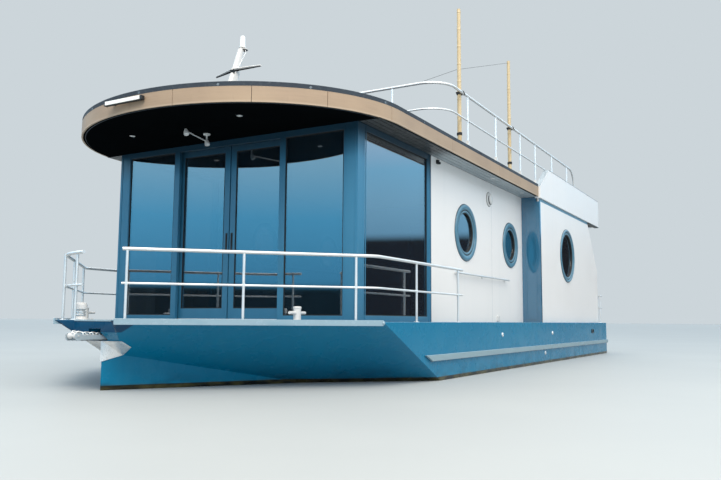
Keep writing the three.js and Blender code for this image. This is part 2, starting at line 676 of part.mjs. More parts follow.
// Flood light bar on the fascia, a little to starboard of the centreline.
const flood = {
  x: 6275, depth: 55, y0: -500, y1: 110, z0: 3745, z1: 3830, stayYs: [-400, 10], stayHalf: 20,
};
const fasciaFrontX = (y) => roofArcX + roofReach * Math.sqrt(1 - (y / roofHalfWidth) ** 2);
add('flood_light', join(
  block(flood.x, flood.x + flood.depth, flood.y0, flood.y1, flood.z0, flood.z1),
  ...flood.stayYs.map((y) => block(fasciaFrontX(y + flood.stayHalf) + gap, flood.x + 5,
    y - flood.stayHalf, y + flood.stayHalf, flood.z0 + 20, flood.z0 + 50)),
), looks.lampWhite);

// Spot bar with two heads under the soffit.
const spotBar = {
  centre: [5250, -10], ends: [[5590, 70], [4920, -90]], barZ: soffitZ - 45, headZ: soffitZ - 130,
};
add('soffit_spots', join(
  rod([...spotBar.centre, soffitZ - gap], [...spotBar.centre, soffitZ - 20], 60, 14),
  rod([...spotBar.centre, soffitZ - 10], [...spotBar.centre, soffitZ - 50], 14, 8),
  rod([...spotBar.ends[0], spotBar.barZ], [...spotBar.ends[1], spotBar.barZ], 12, 8),
  ...spotBar.ends.map(([x, y]) => rod([x, y, spotBar.barZ + 5], [x + 20, y + 40, spotBar.headZ], 38, 12)),
), looks.steel);

// Stern

const sternRail = { x: -6830, y0: 1720, y1: 2400, topZ: 1900, midZ: 1600, radius: 16 };
addPair('stern_rail', (() => {
  const { x, y0, y1, topZ, midZ, radius } = sternRail;
  const aftOfWing = wingX - 40;
  const loop = (z) => tube(roundedPath([[aftOfWing, y1, z], [x, y1, z], [x, y0, z]], 80), radius);
  const posts = [[aftOfWing - 10, y1], [x, y1 - 100], [x, y0 + 10]].map(([px, py]) => (
    rod([px, py, deckZ + gap], [px, py, topZ], radius - 2, 8)));
  return join(loop(topZ), loop(midZ), ...posts);
})(), looks.steel);

// Ladder from the stern deck to the roof.
const ladder = { x: -6800, y0: -1640, y1: -1200, topZ: 4500, rungs: 10 };
add('roof_ladder', (() => {
  const stringers = [ladder.y0, ladder.y1].map((y) => (
    rod([ladder.x, y, deckZ + gap], [ladder.x, y, ladder.topZ], 18, 8)));
  const rungs = [...Array(ladder.rungs).keys()].map((k) => {
    const z = deckZ + 260 * (k + 1);
    return rod([ladder.x, ladder.y0, z], [ladder.x, ladder.y1, z], 14, 8);
  });
  return join(...stringers, ...rungs);
})(), looks.steel);

// Outboard motor on the lip of the motor well.
const motor = { tiltX: sternX - 70, tiltZ: 900, steerX: sternX - 125, propZ: 215, propRadius: 125 };
add('outboard_clamp', join(
  block(sternX - 30, sternX - gap, -130, 130, 560, motorWell.floorZ - 20),
  block(sternX - 100, sternX - 20, -130, -105, 640, motor.tiltZ + 25),
  block(sternX - 100, sternX - 20, 105, 130, 640, motor.tiltZ + 25),
), looks.engine);
add('outboard_swivel', join(
  rod([motor.tiltX, -98, motor.tiltZ], [motor.tiltX, 98, motor.tiltZ], 28, 12),
  rod([motor.steerX, 0, 640], [motor.steerX, 0, motor.tiltZ + 30], 42, 14),
), looks.engine);
add('outboard_engine', (() => {
  const legX = motor.steerX - 130;
  return join(
    block(legX - 70, legX + 55, -55, 55, 385, 980),
    block(legX + 40, motor.steerX + 40, -45, 45, motor.tiltZ + 38, 980),
    block(legX + 40, motor.steerX + 40, -45, 45, 585, 632),
    block(legX - 230, motor.steerX + 60, -170, 170, 970, 1420),
    block(legX - 190, legX + 90, -110, 110, 380, 395),
    prismY([[legX - 50, 60], [legX - 95, 60], [legX - 90, 400], [legX + 60, 400], [legX + 40, 160]], -14, 14),
    rod([legX - 100, 0, motor.propZ], [legX + 110, 0, motor.propZ], 52, 14),
  );
})(), looks.engine);
add('outboard_propeller', (() => {
  const hubX = motor.steerX - 130 - 106;
  const parts = [rod([hubX, 0, motor.propZ], [hubX - 90, 0, motor.propZ], 38, 12)];
  for (let k = 0; k < 3; k += 1) {
    const blade = new THREE.BoxGeometry(12, 90, motor.propRadius - 10)
      .rotateZ(0.5).translate(0, 0, (motor.propRadius - 10) / 2 + 10)
      .rotateX((2 * Math.PI * k) / 3).translate(hubX - 45, 0, motor.propZ);
    parts.push(blade);
  }
  return join(...parts);
})(), looks.steel);

// Inside the saloon

const helm = { x0: 3850, x1: 4200, y0: -1700, y1: -950, topZ: 2180 };
add('helm_console', prismY([
  [helm.x0, deckZ + gap], [helm.x1, deckZ + gap], [helm.x1, helm.topZ + 60], [helm.x0 + 60, helm.topZ],
], helm.y0, helm.y1), looks.wood);
const wheelX = helm.x0 - 30;
const wheelZ = 2020;
add('helm_wheel', (() => {
  const y = (helm.y0 + helm.y1) / 2;
  const rim = new THREE.TorusGeometry(190, 14, 8, 28).rotateY(Math.PI / 2).translate(wheelX, y, wheelZ);
  const spokes = [0, 1, 2].map((k) => {
    const angle = (2 * Math.PI * k) / 3;
    const end = [wheelX, y + 190 * Math.sin(angle), wheelZ + 190 * Math.cos(angle)];
    return rod([wheelX, y, wheelZ], end, 9, 8);
  });
  return join(rim, rod([wheelX - 20, y, wheelZ], [wheelX + 70, y, wheelZ], 32, 12), ...spokes);
})(), looks.plastic);
add('galley_counter', block(-1200, 1300, -1935, -1330, deckZ + gap, 2150), looks.wallWhite);
export default group;
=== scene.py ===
import bmesh
import bpy
import json
import math
from mathutils import Matrix, Vector

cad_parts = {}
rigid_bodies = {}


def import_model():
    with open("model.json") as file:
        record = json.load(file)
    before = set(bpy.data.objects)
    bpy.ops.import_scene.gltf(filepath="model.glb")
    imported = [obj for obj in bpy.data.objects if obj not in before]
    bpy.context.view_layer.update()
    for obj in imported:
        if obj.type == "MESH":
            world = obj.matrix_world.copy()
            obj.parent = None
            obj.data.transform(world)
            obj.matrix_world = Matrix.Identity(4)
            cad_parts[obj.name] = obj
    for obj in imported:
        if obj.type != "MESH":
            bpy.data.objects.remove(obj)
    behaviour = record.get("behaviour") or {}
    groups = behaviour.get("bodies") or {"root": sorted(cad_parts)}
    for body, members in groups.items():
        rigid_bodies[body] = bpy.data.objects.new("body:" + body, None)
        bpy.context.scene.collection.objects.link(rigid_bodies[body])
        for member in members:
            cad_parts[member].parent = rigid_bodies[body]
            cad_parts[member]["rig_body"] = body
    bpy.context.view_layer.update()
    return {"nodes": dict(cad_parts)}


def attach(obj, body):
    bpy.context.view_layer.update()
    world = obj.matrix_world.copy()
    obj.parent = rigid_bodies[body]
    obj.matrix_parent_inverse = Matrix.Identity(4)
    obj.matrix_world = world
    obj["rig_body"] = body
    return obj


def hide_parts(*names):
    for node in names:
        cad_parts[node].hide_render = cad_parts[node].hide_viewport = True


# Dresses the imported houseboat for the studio. Metres, +X to the bow, +Y to port, +Z up.

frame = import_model()
boatBody = "boat"
sides = {"port": 1, "starboard": -1}
print("frame:", len(frame["nodes"]), "nodes")


# Nodes and meshes

def hexColour(code):
    channels = [int(code[k:k + 2], 16) / 255 for k in (1, 3, 5)]
    linear = [c / 12.92 if c <= 0.04045 else ((c + 0.055) / 1.055) ** 2.4 for c in channels]
    return (*linear, 1.0)


def addNode(tree, kind, inputs=None, **settings):
    node = tree.nodes.new(kind)
    for name, value in settings.items():
        setattr(node, name, value)
    for key, value in (inputs or {}).items():
        if isinstance(value, bpy.types.NodeSocket):
            tree.links.new(value, node.inputs[key])
        else:
            node.inputs[key].default_value = value
    return node


def addPrism(bm, outline, low, high, axis="z"):
    # raises an outline, given in the other two coordinates, from low to high along the axis
    place = {
        "x": lambda u, v, w: (w, u, v),
        "y": lambda u, v, w: (u, w, v),
        "z": lambda u, v, w: (u, v, w),
    }[axis]
    bottom = [bm.verts.new(place(u, v, low)) for u, v in outline]
    top = [bm.verts.new(place(u, v, high)) for u, v in outline]
    bm.faces.new(bottom)
    bm.faces.new(top)
    for k in range(len(outline)):
        n = (k + 1) % len(outline)
        bm.faces.new((bottom[k], bottom[n], top[n], top[k]))


def addBox(bm, low, high):
    corners = [(low[0], low[1]), (high[0], low[1]), (high[0], high[1]), (low[0], high[1])]
    addPrism(bm, corners, low[2], high[2])


def addFrame(bm, outer, inner, low, high, axis):
    # a flat picture frame between two rectangles (u0, v0, u1, v1), from low to high along the axis
    place = {"x": lambda u, v, w: (w, u, v), "y": lambda u, v, w: (u, w, v)}[axis]
    rings = []
    for (u0, v0, u1, v1), w in ((outer, low), (outer, high), (inner, high), (inner, low)):
        rings.append([bm.verts.new(place(u, v, w)) for u, v in ((u0, v0), (u1, v0), (u1, v1), (u0, v1))])
    for k in range(4):
        first, second = rings[k], rings[(k + 1) % 4]
        for j in range(4):
            n = (j + 1) % 4
            bm.faces.new((first[j], first[n], second[n], second[j]))


def addSideBox(bm, side, low, high):
    # a box given for the port side, on the side that is asked for
    near, far = sorted((side * low[1], side * high[1]))
    addBox(bm, (low[0], near, low[2]), (high[0], far, high[2]))


def addSidePrism(bm, outline, side, inner, outer):
    near, far = sorted((side * inner, side * outer))
    addPrism(bm, outline, near, far, "y")


def addLathe(bm, profile, centre=(0, 0, 0), axis=(0, 0, 1), steps=32, closed=False):
    # turns a profile of (radius, height) points about an axis through the centre
    turn = Vector((0, 0, 1)).rotation_difference(Vector(axis)).to_matrix()
    rings = []
    for radius, height in profile:
        count = 1 if radius < 1e-6 else steps
        angles = [2 * math.pi * k / steps for k in range(count)]
        spots = [Vector((radius * math.cos(a), radius * math.sin(a), height)) for a in angles]
        rings.append([bm.verts.new(turn @ spot + Vector(centre)) for spot in spots])
    pairs = list(zip(rings, rings[1:]))
    if closed:
        pairs.append((rings[-1], rings[0]))
    for lower, upper in pairs:
        for k in range(steps):
            n = k + 1
            corners = [lower[k % len(lower)], lower[n % len(lower)], upper[n % len(upper)],
                       upper[k % len(upper)]]
            corners = list(dict.fromkeys(corners))
            if len(corners) > 2:
                bm.faces.new(corners)


def latheMesh(profile, steps=16):
    bm = bmesh.new()
    addLathe(bm, profile, steps=steps)
    bmesh.ops.recalc_face_normals(bm, faces=bm.faces)
    mesh = bpy.data.meshes.new("turned")
    bm.to_mesh(mesh)
    bm.free()
    return mesh


def finishPiece(bm, name, look, replaces=(), bevel=0.0, body=boatBody, sharp=38):
    # makes the mesh a piece with its look's material
    bmesh.ops.recalc_face_normals(bm, faces=bm.faces)
    mesh = bpy.data.meshes.new(name)
    bm.to_mesh(mesh)
    bm.free()
    mesh.shade_smooth()
    mesh.set_sharp_from_angle(angle=math.radians(sharp))
    mesh.materials.append(looks[look])
    piece = bpy.data.objects.new(name, mesh)
    bpy.context.scene.collection.objects.link(piece)
    if bevel:
        soften = piece.modifiers.new("softEdges", "BEVEL")
        soften.width = bevel
        soften.segments = 2
        soften.limit_method = "ANGLE"
        soften.angle_limit = math.radians(30)
        soften.harden_normals = True
    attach(piece, body)
    if replaces:
        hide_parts(*replaces)


def dressNode(node, look, bevel=0.003):
    # the node's own shape with its faces joined up and its edges eased
    source = frame["nodes"][node]
    bm = bmesh.new()
    bm.from_mesh(source.data)
    bmesh.ops.remove_doubles(bm, verts=bm.verts, dist=2e-5)
    bmesh.ops.dissolve_limit(bm, angle_limit=math.radians(0.4), verts=bm.verts, edges=bm.edges)
    finishPiece(bm, node + "_finish", look, [node], bevel, source["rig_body"])


# Geometry Nodes: one tree for each thing that repeats or follows a path

def newTree(name, sockets):
    tree = bpy.data.node_groups.new(name, "GeometryNodeTree")
    tree.interface.new_socket("Geometry", in_out="OUTPUT", socket_type="NodeSocketGeometry")
    tree.interface.new_socket("Geometry", in_out="INPUT", socket_type="NodeSocketGeometry")
    for label, kind in (*sockets, ("Material", "NodeSocketMaterial")):
        tree.interface.new_socket(label, in_out="INPUT", socket_type=kind)
    start = tree.nodes.new("NodeGroupInput")
    return tree, start.outputs


def closeTree(tree, start, geometry):
    real = addNode(tree, "GeometryNodeRealizeInstances", {"Geometry": geometry})
    painted = addNode(tree, "GeometryNodeSetMaterial",
                      {"Geometry": real.outputs[0], "Material": start["Material"]})
    addNode(tree, "NodeGroupOutput", {"Geometry": painted.outputs[0]})
    return tree


def runTree(tree, mesh, values):
    # evaluates the tree on a bare mesh and hands back the plain result
    holder = bpy.data.objects.new("holder", mesh)
    bpy.context.scene.collection.objects.link(holder)
    modifier = holder.modifiers.new("nodes", "NODES")
    modifier.node_group = tree
    for item in tree.interface.items_tree:
        if item.in_out == "INPUT" and item.name in values:
            modifier[item.identifier] = values[item.name]
    bpy.context.view_layer.update()
    result = bpy.data.meshes.new_from_object(holder.evaluated_get(bpy.context.evaluated_depsgraph_get()))
    bpy.data.objects.remove(holder)
    return result


def makePipeTree():
    # polylines become round pipes: each corner holds its own pipe radius and bend radius
    tree, start = newTree("pipes", [("Sides", "NodeSocketInt"), ("Bend Steps", "NodeSocketInt")])
    radius = addNode(tree, "GeometryNodeInputNamedAttribute", {"Name": "pipeRadius"}, data_type="FLOAT")
    bend = addNode(tree, "GeometryNodeInputNamedAttribute", {"Name": "bendRadius"}, data_type="FLOAT")
    curve = addNode(tree, "GeometryNodeMeshToCurve", {"Mesh": start["Geometry"]})
    bent = addNode(
        tree, "GeometryNodeFilletCurve",
        {"Curve": curve.outputs[0], "Count": start["Bend Steps"], "Radius": bend.outputs[0],
         "Limit Radius": True},
        mode="POLY"
    )
    section = addNode(tree, "GeometryNodeCurvePrimitiveCircle",
                      {"Resolution": start["Sides"], "Radius": 1.0})
    skin = addNode(
        tree, "GeometryNodeCurveToMesh",
        {"Curve": bent.outputs[0], "Profile Curve": section.outputs[0], "Scale": radius.outputs[0],
         "Fill Caps": True}
    )
    return closeTree(tree, start, skin.outputs[0])


def makeCopiesTree():
    # stands one item on each point, its Z turned to the point's aim
    tree, start = newTree("copies", [("Item", "NodeSocketObject")])
    item = addNode(tree, "GeometryNodeObjectInfo", {"Object": start["Item"]}, transform_space="ORIGINAL")
    aim = addNode(tree, "GeometryNodeInputNamedAttribute", {"Name": "aim"}, data_type="FLOAT_VECTOR")
    turn = addNode(tree, "FunctionNodeAlignRotationToVector", {"Vector": aim.outputs[0]}, axis="Z")
    copies = addNode(tree, "GeometryNodeInstanceOnPoints", {
        "Points": start["Geometry"], "Instance": item.outputs["Geometry"], "Rotation": turn.outputs[0],
    })
    return closeTree(tree, start, copies.outputs[0])


def makeChainTree():
    # links along a path, every second one turned on its side
    tree, start = newTree("chain", [
        ("Pitch", "NodeSocketFloat"), ("Wire", "NodeSocketFloat"), ("Link Width", "NodeSocketFloat"),
    ])
    curve = addNode(tree, "GeometryNodeMeshToCurve", {"Mesh": start["Geometry"]})
    spots = addNode(tree, "GeometryNodeResampleCurve", {
        "Curve": curve.outputs[0], "Length": start["Pitch"],
    }, mode="LENGTH")
    tangent = addNode(tree, "GeometryNodeInputTangent")
    along = addNode(tree, "FunctionNodeAlignRotationToVector", {"Vector": tangent.outputs[0]}, axis="X")
    index = addNode(tree, "GeometryNodeInputIndex")
    half = addNode(tree, "ShaderNodeMath", {0: index.outputs[0], 1: math.pi / 2}, operation="MULTIPLY")
    tilt = addNode(tree, "ShaderNodeMath", {0: half.outputs[0], 1: math.pi / 4}, operation="ADD")
    roll = addNode(tree, "FunctionNodeAxisAngleToRotation", {"Axis": (1, 0, 0), "Angle": tilt.outputs[0]})
    turn = addNode(tree, "FunctionNodeRotateRotation", {
        "Rotation": along.outputs[0], "Rotate By": roll.outputs[0],
    }, rotation_space="LOCAL")
    ring = addNode(tree, "GeometryNodeCurvePrimitiveCircle", {"Resolution": 14, "Radius": 0.5})
    length = addNode(tree, "ShaderNodeMath", {0: start["Pitch"], 1: 1.38}, operation="MULTIPLY")
    size = addNode(tree, "ShaderNodeCombineXYZ",
                   {"X": length.outputs[0], "Y": start["Link Width"], "Z": 1.0})
    oval = addNode(tree, "GeometryNodeTransform", {"Geometry": ring.outputs[0], "Scale": size.outputs[0]})
    wire = addNode(tree, "GeometryNodeCurvePrimitiveCircle", {"Resolution": 7, "Radius": start["Wire"]})
    link = addNode(tree, "GeometryNodeCurveToMesh",
                   {"Curve": oval.outputs[0], "Profile Curve": wire.outputs[0]})
    copies = addNode(tree, "GeometryNodeInstanceOnPoints", {
        "Points": spots.outputs[0], "Instance": link.outputs[0], "Rotation": turn.outputs[0],
    })
    return closeTree(tree, start, copies.outputs[0])


def makeCulmTree():
    # a bamboo culm on each edge: thinner towards its tip, with a swollen ring at every joint
    tree, start = newTree(
        "culm",
        [("Radius", "NodeSocketFloat"), ("Joint Spacing", "NodeSocketFloat"),
         ("Swelling", "NodeSocketFloat"), ("Ring Width", "NodeSocketFloat"), ("Taper", "NodeSocketFloat"),
         ("Step", "NodeSocketFloat")]
    )
    curve = addNode(tree, "GeometryNodeMeshToCurve", {"Mesh": start["Geometry"]})
    fine = addNode(tree, "GeometryNodeResampleCurve", {"Curve": curve.outputs[0], "Length": start["Step"]},
                   mode="LENGTH")
    travelled = addNode(tree, "GeometryNodeSplineParameter")
    share = addNode(tree, "ShaderNodeMath", {0: travelled.outputs["Length"], 1: start["Joint Spacing"]},
                    operation="DIVIDE")
    within = addNode(tree, "ShaderNodeMath", {0: share.outputs[0]}, operation="FRACT")
    centred = addNode(tree, "ShaderNodeMath", {0: within.outputs[0], 1: 0.5}, operation="SUBTRACT")
    away = addNode(tree, "ShaderNodeMath", {0: centred.outputs[0]}, operation="ABSOLUTE")
    reach = addNode(tree, "ShaderNodeMath", {0: away.outputs[0], 1: start["Joint Spacing"]},
                    operation="MULTIPLY")
    ring = addNode(
        tree, "ShaderNodeMapRange",
        {"Value": reach.outputs[0], "From Min": 0.0, "From Max": start["Ring Width"], "To Min": 1.0,
         "To Max": 0.0},
        interpolation_type="SMOOTHSTEP"
    )
    swell = addNode(tree, "ShaderNodeMath", {0: ring.outputs[0], 1: start["Swelling"]},
                    operation="MULTIPLY")
    slim = addNode(tree, "ShaderNodeMath", {0: travelled.outputs["Factor"], 1: start["Taper"]},
                   operation="MULTIPLY")
    girth = addNode(tree, "ShaderNodeMath", {0: swell.outputs[0], 1: slim.outputs[0]}, operation="SUBTRACT")
    whole = addNode(tree, "ShaderNodeMath", {0: girth.outputs[0], 1: 1.0}, operation="ADD")
    radius = addNode(tree, "ShaderNodeMath", {0: whole.outputs[0], 1: start["Radius"]},
                     operation="MULTIPLY")
    section = addNode(tree, "GeometryNodeCurvePrimitiveCircle", {"Resolution": 20, "Radius": 1.0})
    skin = addNode(
        tree, "GeometryNodeCurveToMesh",
        {"Curve": fine.outputs[0], "Profile Curve": section.outputs[0], "Scale": radius.outputs[0],
         "Fill Caps": True}
    )
    return closeTree(tree, start, skin.outputs[0])


def makeLashingTree():
    # turns of cord wound round a pole, one winding on each point
    tree, start = newTree(
        "lashing",
        [("Turns", "NodeSocketFloat"), ("Radius", "NodeSocketFloat"), ("Cord", "NodeSocketFloat"),
         ("Height", "NodeSocketFloat")]
    )
    coil = addNode(tree, "GeometryNodeCurveSpiral", {
        "Resolution": 24, "Rotations": start["Turns"], "Start Radius": start["Radius"],
        "End Radius": start["Radius"], "Height": start["Height"],
    })
    section = addNode(tree, "GeometryNodeCurvePrimitiveCircle", {"Resolution": 6, "Radius": start["Cord"]})
    cord = addNode(tree, "GeometryNodeCurveToMesh", {
        "Curve": coil.outputs[0], "Profile Curve": section.outputs[0], "Fill Caps": True,
    })
    copies = addNode(tree, "GeometryNodeInstanceOnPoints",
                     {"Points": start["Geometry"], "Instance": cord.outputs[0]})
    return closeTree(tree, start, copies.outputs[0])


pipeTree = makePipeTree()
copiesTree = makeCopiesTree()
chainTree = makeChainTree()
culmTree = makeCulmTree()
lashingTree = makeLashingTree()


def skeletonMesh(runs):
    # each run is (points, pipe radius), then its bend radius and True for a closed loop where it has them
    bm = bmesh.new()
    radiusLayer = bm.verts.layers.float.new("pipeRadius")
    bendLayer = bm.verts.layers.float.new("bendRadius")
    for points, radius, *more in runs:
        bend, closed = (*more, 0, False)[:2]
        corners = [bm.verts.new(point) for point in points]
        for corner in corners:
            corner[radiusLayer] = radius
            corner[bendLayer] = bend
        loop = corners + corners[:1] if closed else corners
        for pair in zip(loop, loop[1:]):
            bm.edges.new(pair)
    mesh = bpy.data.meshes.new("skeleton")
    bm.to_mesh(mesh)
    bm.free()
    return mesh


def addPipes(bm, runs, pipeSides=16, bendSteps=8):
    bm.from_mesh(runTree(pipeTree, skeletonMesh(runs), {"Sides": pipeSides, "Bend Steps": bendSteps}))


def addCopies(bm, itemMesh, places):
    # places are (point, aim) pairs
    points = bmesh.new()
    aimLayer = points.verts.layers.float_vector.new("aim")
    for point, aim in places:
        points.verts.new(point)[aimLayer] = Vector(aim)
    mesh = bpy.data.meshes.new("places")
    points.to_mesh(mesh)
    points.free()
    item = bpy.data.objects.new("item", itemMesh)
    bpy.context.scene.collection.objects.link(item)
    bm.from_mesh(runTree(copiesTree, mesh, {"Item": item}))
    bpy.data.objects.remove(item)


# The hull's measures, which its paint needs too

hull = {"noseX": 6.890, "noseHalf": 0.450, "shoulderX": 4.890, "beam": 2.470, "deckZ": 1.240,
        "flareRun": 1.5}
bowEdge = Vector((hull["shoulderX"] - hull["noseX"], hull["beam"] - hull["noseHalf"])).normalized()
bowOut = Vector((bowEdge.y, -bowEdge.x))
# where the paint and the painted shade change: each pair is the place with none of a colour and the place
# with all of it
hullPaintAndShade = {"splash": (0.74, 0.56), "bootLine": (0.552, 0.545), "scum": (0.566, 0.535),
             "stemShade": (6.35, 5.30), "shadeAft": (4.80, 4.90), "shadeTop": (1.20, 1.10),
             "notchAft": (6.700, 6.712), "notchTop": (1.2385, 1.2375), "notchFoot": (1.112, 1.118),
             "underFlare": (0.006, 0.038)}


# Materials. Sizes of patterns are millimetres on the real thing.

looks, usualSlots = {}, {}


def startLook(name, slot, colour, sockets):
    # a principled surface of one colour, ready for its layers, and the slot that its pieces usually take
    material = bpy.data.materials.new(name)
    material.use_nodes = True
    tree = material.node_tree
    shader = tree.nodes["Principled BSDF"]
    shader.inputs["Base Color"].default_value = hexColour(colour)
    for socket, value in sockets.items():
        shader.inputs[socket].default_value = value
    coords = addNode(tree, "ShaderNodeTexCoord").outputs["Object"]
    looks[name], usualSlots[name] = material, slot
    return {
        "material": material, "tree": tree, "shader": shader, "coords": coords,
        "colour": hexColour(colour), "normal": None,
    }


def patches(look, size, spread=(0.4, 0.6), stretch=(1, 1, 1), detail=4.0):
    # a mask of soft patches of that size in millimetres, drawn out by the stretch
    scale = [1000 / (size * s) for s in stretch]
    place = addNode(look["tree"], "ShaderNodeMapping", {"Vector": look["coords"], "Scale": scale})
    noise = addNode(look["tree"], "ShaderNodeTexNoise",
                    {"Vector": place.outputs[0], "Scale": 1.0, "Detail": detail})
    mask = addNode(look["tree"], "ShaderNodeMapRange", {
        "Value": noise.outputs["Fac"], "From Min": spread[0], "From Max": spread[1],
    })
    return mask.outputs["Result"]


def maskFrom(look, mask):
    # a layer's mask is ready made, or the size, spread, stretch and detail of its patches
    return patches(look, *mask) if isinstance(mask, tuple) else mask


def band(look, axis, low, high):
    # a mask that rises from 0 to 1 between two places along an axis, in metres
    split = addNode(look["tree"], "ShaderNodeSeparateXYZ", {"Vector": look["coords"]})
    return addNode(look["tree"], "ShaderNodeMapRange", {
        "Value": split.outputs[axis], "From Min": low, "From Max": high,
    }).outputs["Result"]


def tint(look, mask, colour, amount=1.0, within=None):
    # lays a colour over what is there where the mask is light, and the second mask too if there is one
    mask = maskFrom(look, mask)
    for share in (within, amount if amount < 1 else None):
        if share is not None:
            mask = addNode(look["tree"], "ShaderNodeMath", {0: mask, 1: share},
                           operation="MULTIPLY").outputs[0]
    mix = addNode(look["tree"], "ShaderNodeMix", {0: mask, 6: look["colour"], 7: hexColour(colour)},
                  data_type="RGBA")
    look["colour"] = mix.outputs[2]
    look["tree"].links.new(mix.outputs[2], look["shader"].inputs["Base Color"])


def gloss(look, mask, low, high):
    # roughness from low, where the mask is dark, to high
    value = addNode(look["tree"], "ShaderNodeMapRange", {
        "Value": maskFrom(look, mask), "To Min": low, "To Max": high,
    })
    look["tree"].links.new(value.outputs["Result"], look["shader"].inputs["Roughness"])


def relief(look, height, millimetres, strength=1.0):
    bump = addNode(look["tree"], "ShaderNodeBump", {
        "Height": maskFrom(look, height), "Distance": millimetres / 1000, "Strength": strength,
    })
    if look["normal"]:
        look["tree"].links.new(look["normal"], bump.inputs["Normal"])
    look["normal"] = bump.outputs[0]
    look["tree"].links.new(bump.outputs[0], look["shader"].inputs["Normal"])


# two-pack enamel rolled on steel plate: deep satin teal, faintly wavy, black below the boot line
look = startLook("hullEnamel", "hull_paint", "#007098", {"Roughness": 0.28, "Specular IOR Level": 0.22})
tint(look, (1500, (0.3, 0.75)), "#08789e", 0.7)
tint(look, (130, (0.56, 0.8), (1, 1, 10)), "#3b86a2", 0.22)  # rain streaks run down the plate
splashed = band(look, "Z", *hullPaintAndShade["splash"])
tint(look, (90, (0.45, 0.7), (3, 3, 1)), "#0b4059", 0.5, splashed)  # damp splash zone
tint(look, band(look, "Z", *hullPaintAndShade["bootLine"]), "#0d1215")  # antifouling below the boot line
scum = patches(look, 55, (0.38, 0.62), (4, 4, 1))
tint(look, scum, "#5c5936", 0.6, band(look, "Z", *hullPaintAndShade["scum"]))
gloss(look, (300, (0.35, 0.7)), 0.22, 0.33)
# painted shade: the upright plates behind the stem are tinted a deeper blue, more of it towards the aft
# they lie inboard of the flare, on which this sum of the coordinates is the same everywhere
outward = (bowOut.x, bowOut.y, -hull["flareRun"])
flare = bowOut.dot(Vector((hull["noseX"], hull["noseHalf"]))) - hull["flareRun"] * hull["deckZ"]
mirrored = addNode(look["tree"], "ShaderNodeVectorMath", {0: look["coords"]}, operation="ABSOLUTE")
across = addNode(look["tree"], "ShaderNodeVectorMath", {0: mirrored.outputs[0], 1: outward},
                 operation="DOT_PRODUCT")
start, full = hullPaintAndShade["underFlare"]
upright = addNode(look["tree"], "ShaderNodeMapRange", {
    "Value": across.outputs["Value"], "From Min": flare - start, "From Max": flare - full,
})
shade = addNode(look["tree"], "ShaderNodeMath", {
    0: upright.outputs["Result"], 1: band(look, "X", *hullPaintAndShade["stemShade"]),
}, operation="MULTIPLY")
reach = addNode(look["tree"], "ShaderNodeMath", {
    0: band(look, "X", *hullPaintAndShade["shadeAft"]), 1: band(look, "Z", *hullPaintAndShade["shadeTop"]),
}, operation="MULTIPLY")
tint(look, shade.outputs[0], "#042c47", 0.85, reach.outputs[0])
# painted shade: the faces round the recessed notch in the nose are tinted navy
fore = addNode(look["tree"], "ShaderNodeMath", {
    0: band(look, "X", *hullPaintAndShade["notchAft"]), 1: band(look, "Z", *hullPaintAndShade["notchTop"]),
}, operation="MULTIPLY")
tint(look, fore.outputs[0], "#0a3256", 0.85, band(look, "Z", *hullPaintAndShade["notchFoot"]))
relief(look, (900, (0.2, 0.8), (1, 1, 1), 1.0), 1.2)
relief(look, (3, (0.3, 0.7)), 0.02)  # roller stipple, drawn a little coarse

# the pale blue edge band: glossier than the hull, so that it takes the sky
look = startLook("gunwaleEnamel", "rail_paint", "#8ba7b7",
                 {"Roughness": 0.22, "Coat Weight": 0.3, "Coat Roughness": 0.1})
tint(look, (120, (0.5, 0.75), (4, 4, 1)), "#5f8da5", 0.5)
gloss(look, (60, (0.4, 0.7)), 0.16, 0.32)
relief(look, (400, (0.2, 0.8), (1, 1, 1), 1.0), 0.4)

# deck paint with sand in it: matt, gritty, scuffed paler where feet pass
look = startLook("antiSlipPaint", "hull_paint", "#74878f", {"Roughness": 0.8})
tint(look, (500, (0.4, 0.65)), "#84959c", 0.7)
tint(look, (8, (0.55, 0.7)), "#5a6b73", 0.6)
relief(look, (5, (0.4, 0.6), (1, 1, 1), 2.0), 1.0)

# powder-coated aluminium profile: even slate blue, silky, with a very fine orange peel
look = startLook("frameCoating", "frame_paint", "#307093",
                 {"Roughness": 0.34, "Coat Weight": 0.12, "Coat Roughness": 0.15})
tint(look, (260, (0.4, 0.7), (1, 1, 6)), "#37799c", 0.6)
# painted shade: darker towards the top, under the roof's overhang
tint(look, band(look, "Z", 3.20, 3.56), "#0a2231", 0.85)
gloss(look, (90, (0.35, 0.7)), 0.28, 0.4)
relief(look, (4, (0.3, 0.7), (1, 1, 1), 2.0), 0.02)

# the round windows' pressed flanges: the frame colour, weathered greyer by sun from the side
look = startLook("portholeCoating", "frame_paint", "#48748b",
                 {"Roughness": 0.36, "Coat Weight": 0.15, "Coat Roughness": 0.15})
tint(look, (110, (0.4, 0.7)), "#547f95", 0.6)
gloss(look, (60, (0.35, 0.7)), 0.3, 0.42)
relief(look, (4, (0.3, 0.7), (1, 1, 1), 2.0), 0.02)

# sprayed white lacquer on flat sandwich panels: bright, half gloss, barely wavy
look = startLook("wallLacquer", "wall_paint", "#e7e9eb", {"Roughness": 0.32, "Specular IOR Level": 0.15})
tint(look, (1200, (0.2, 0.8), (1, 1, 2), 1.0), "#e0e3e6", 0.6)
tint(look, (140, (0.55, 0.95), (1, 1, 14), 1.0), "#cdd5da", 0.18)  # thin runs of rain dirt
gloss(look, (500, (0.35, 0.7), (1, 1, 1), 1.0), 0.3, 0.36)
relief(look, (900, (0.2, 0.8), (1, 1, 1), 1.0), 0.3)

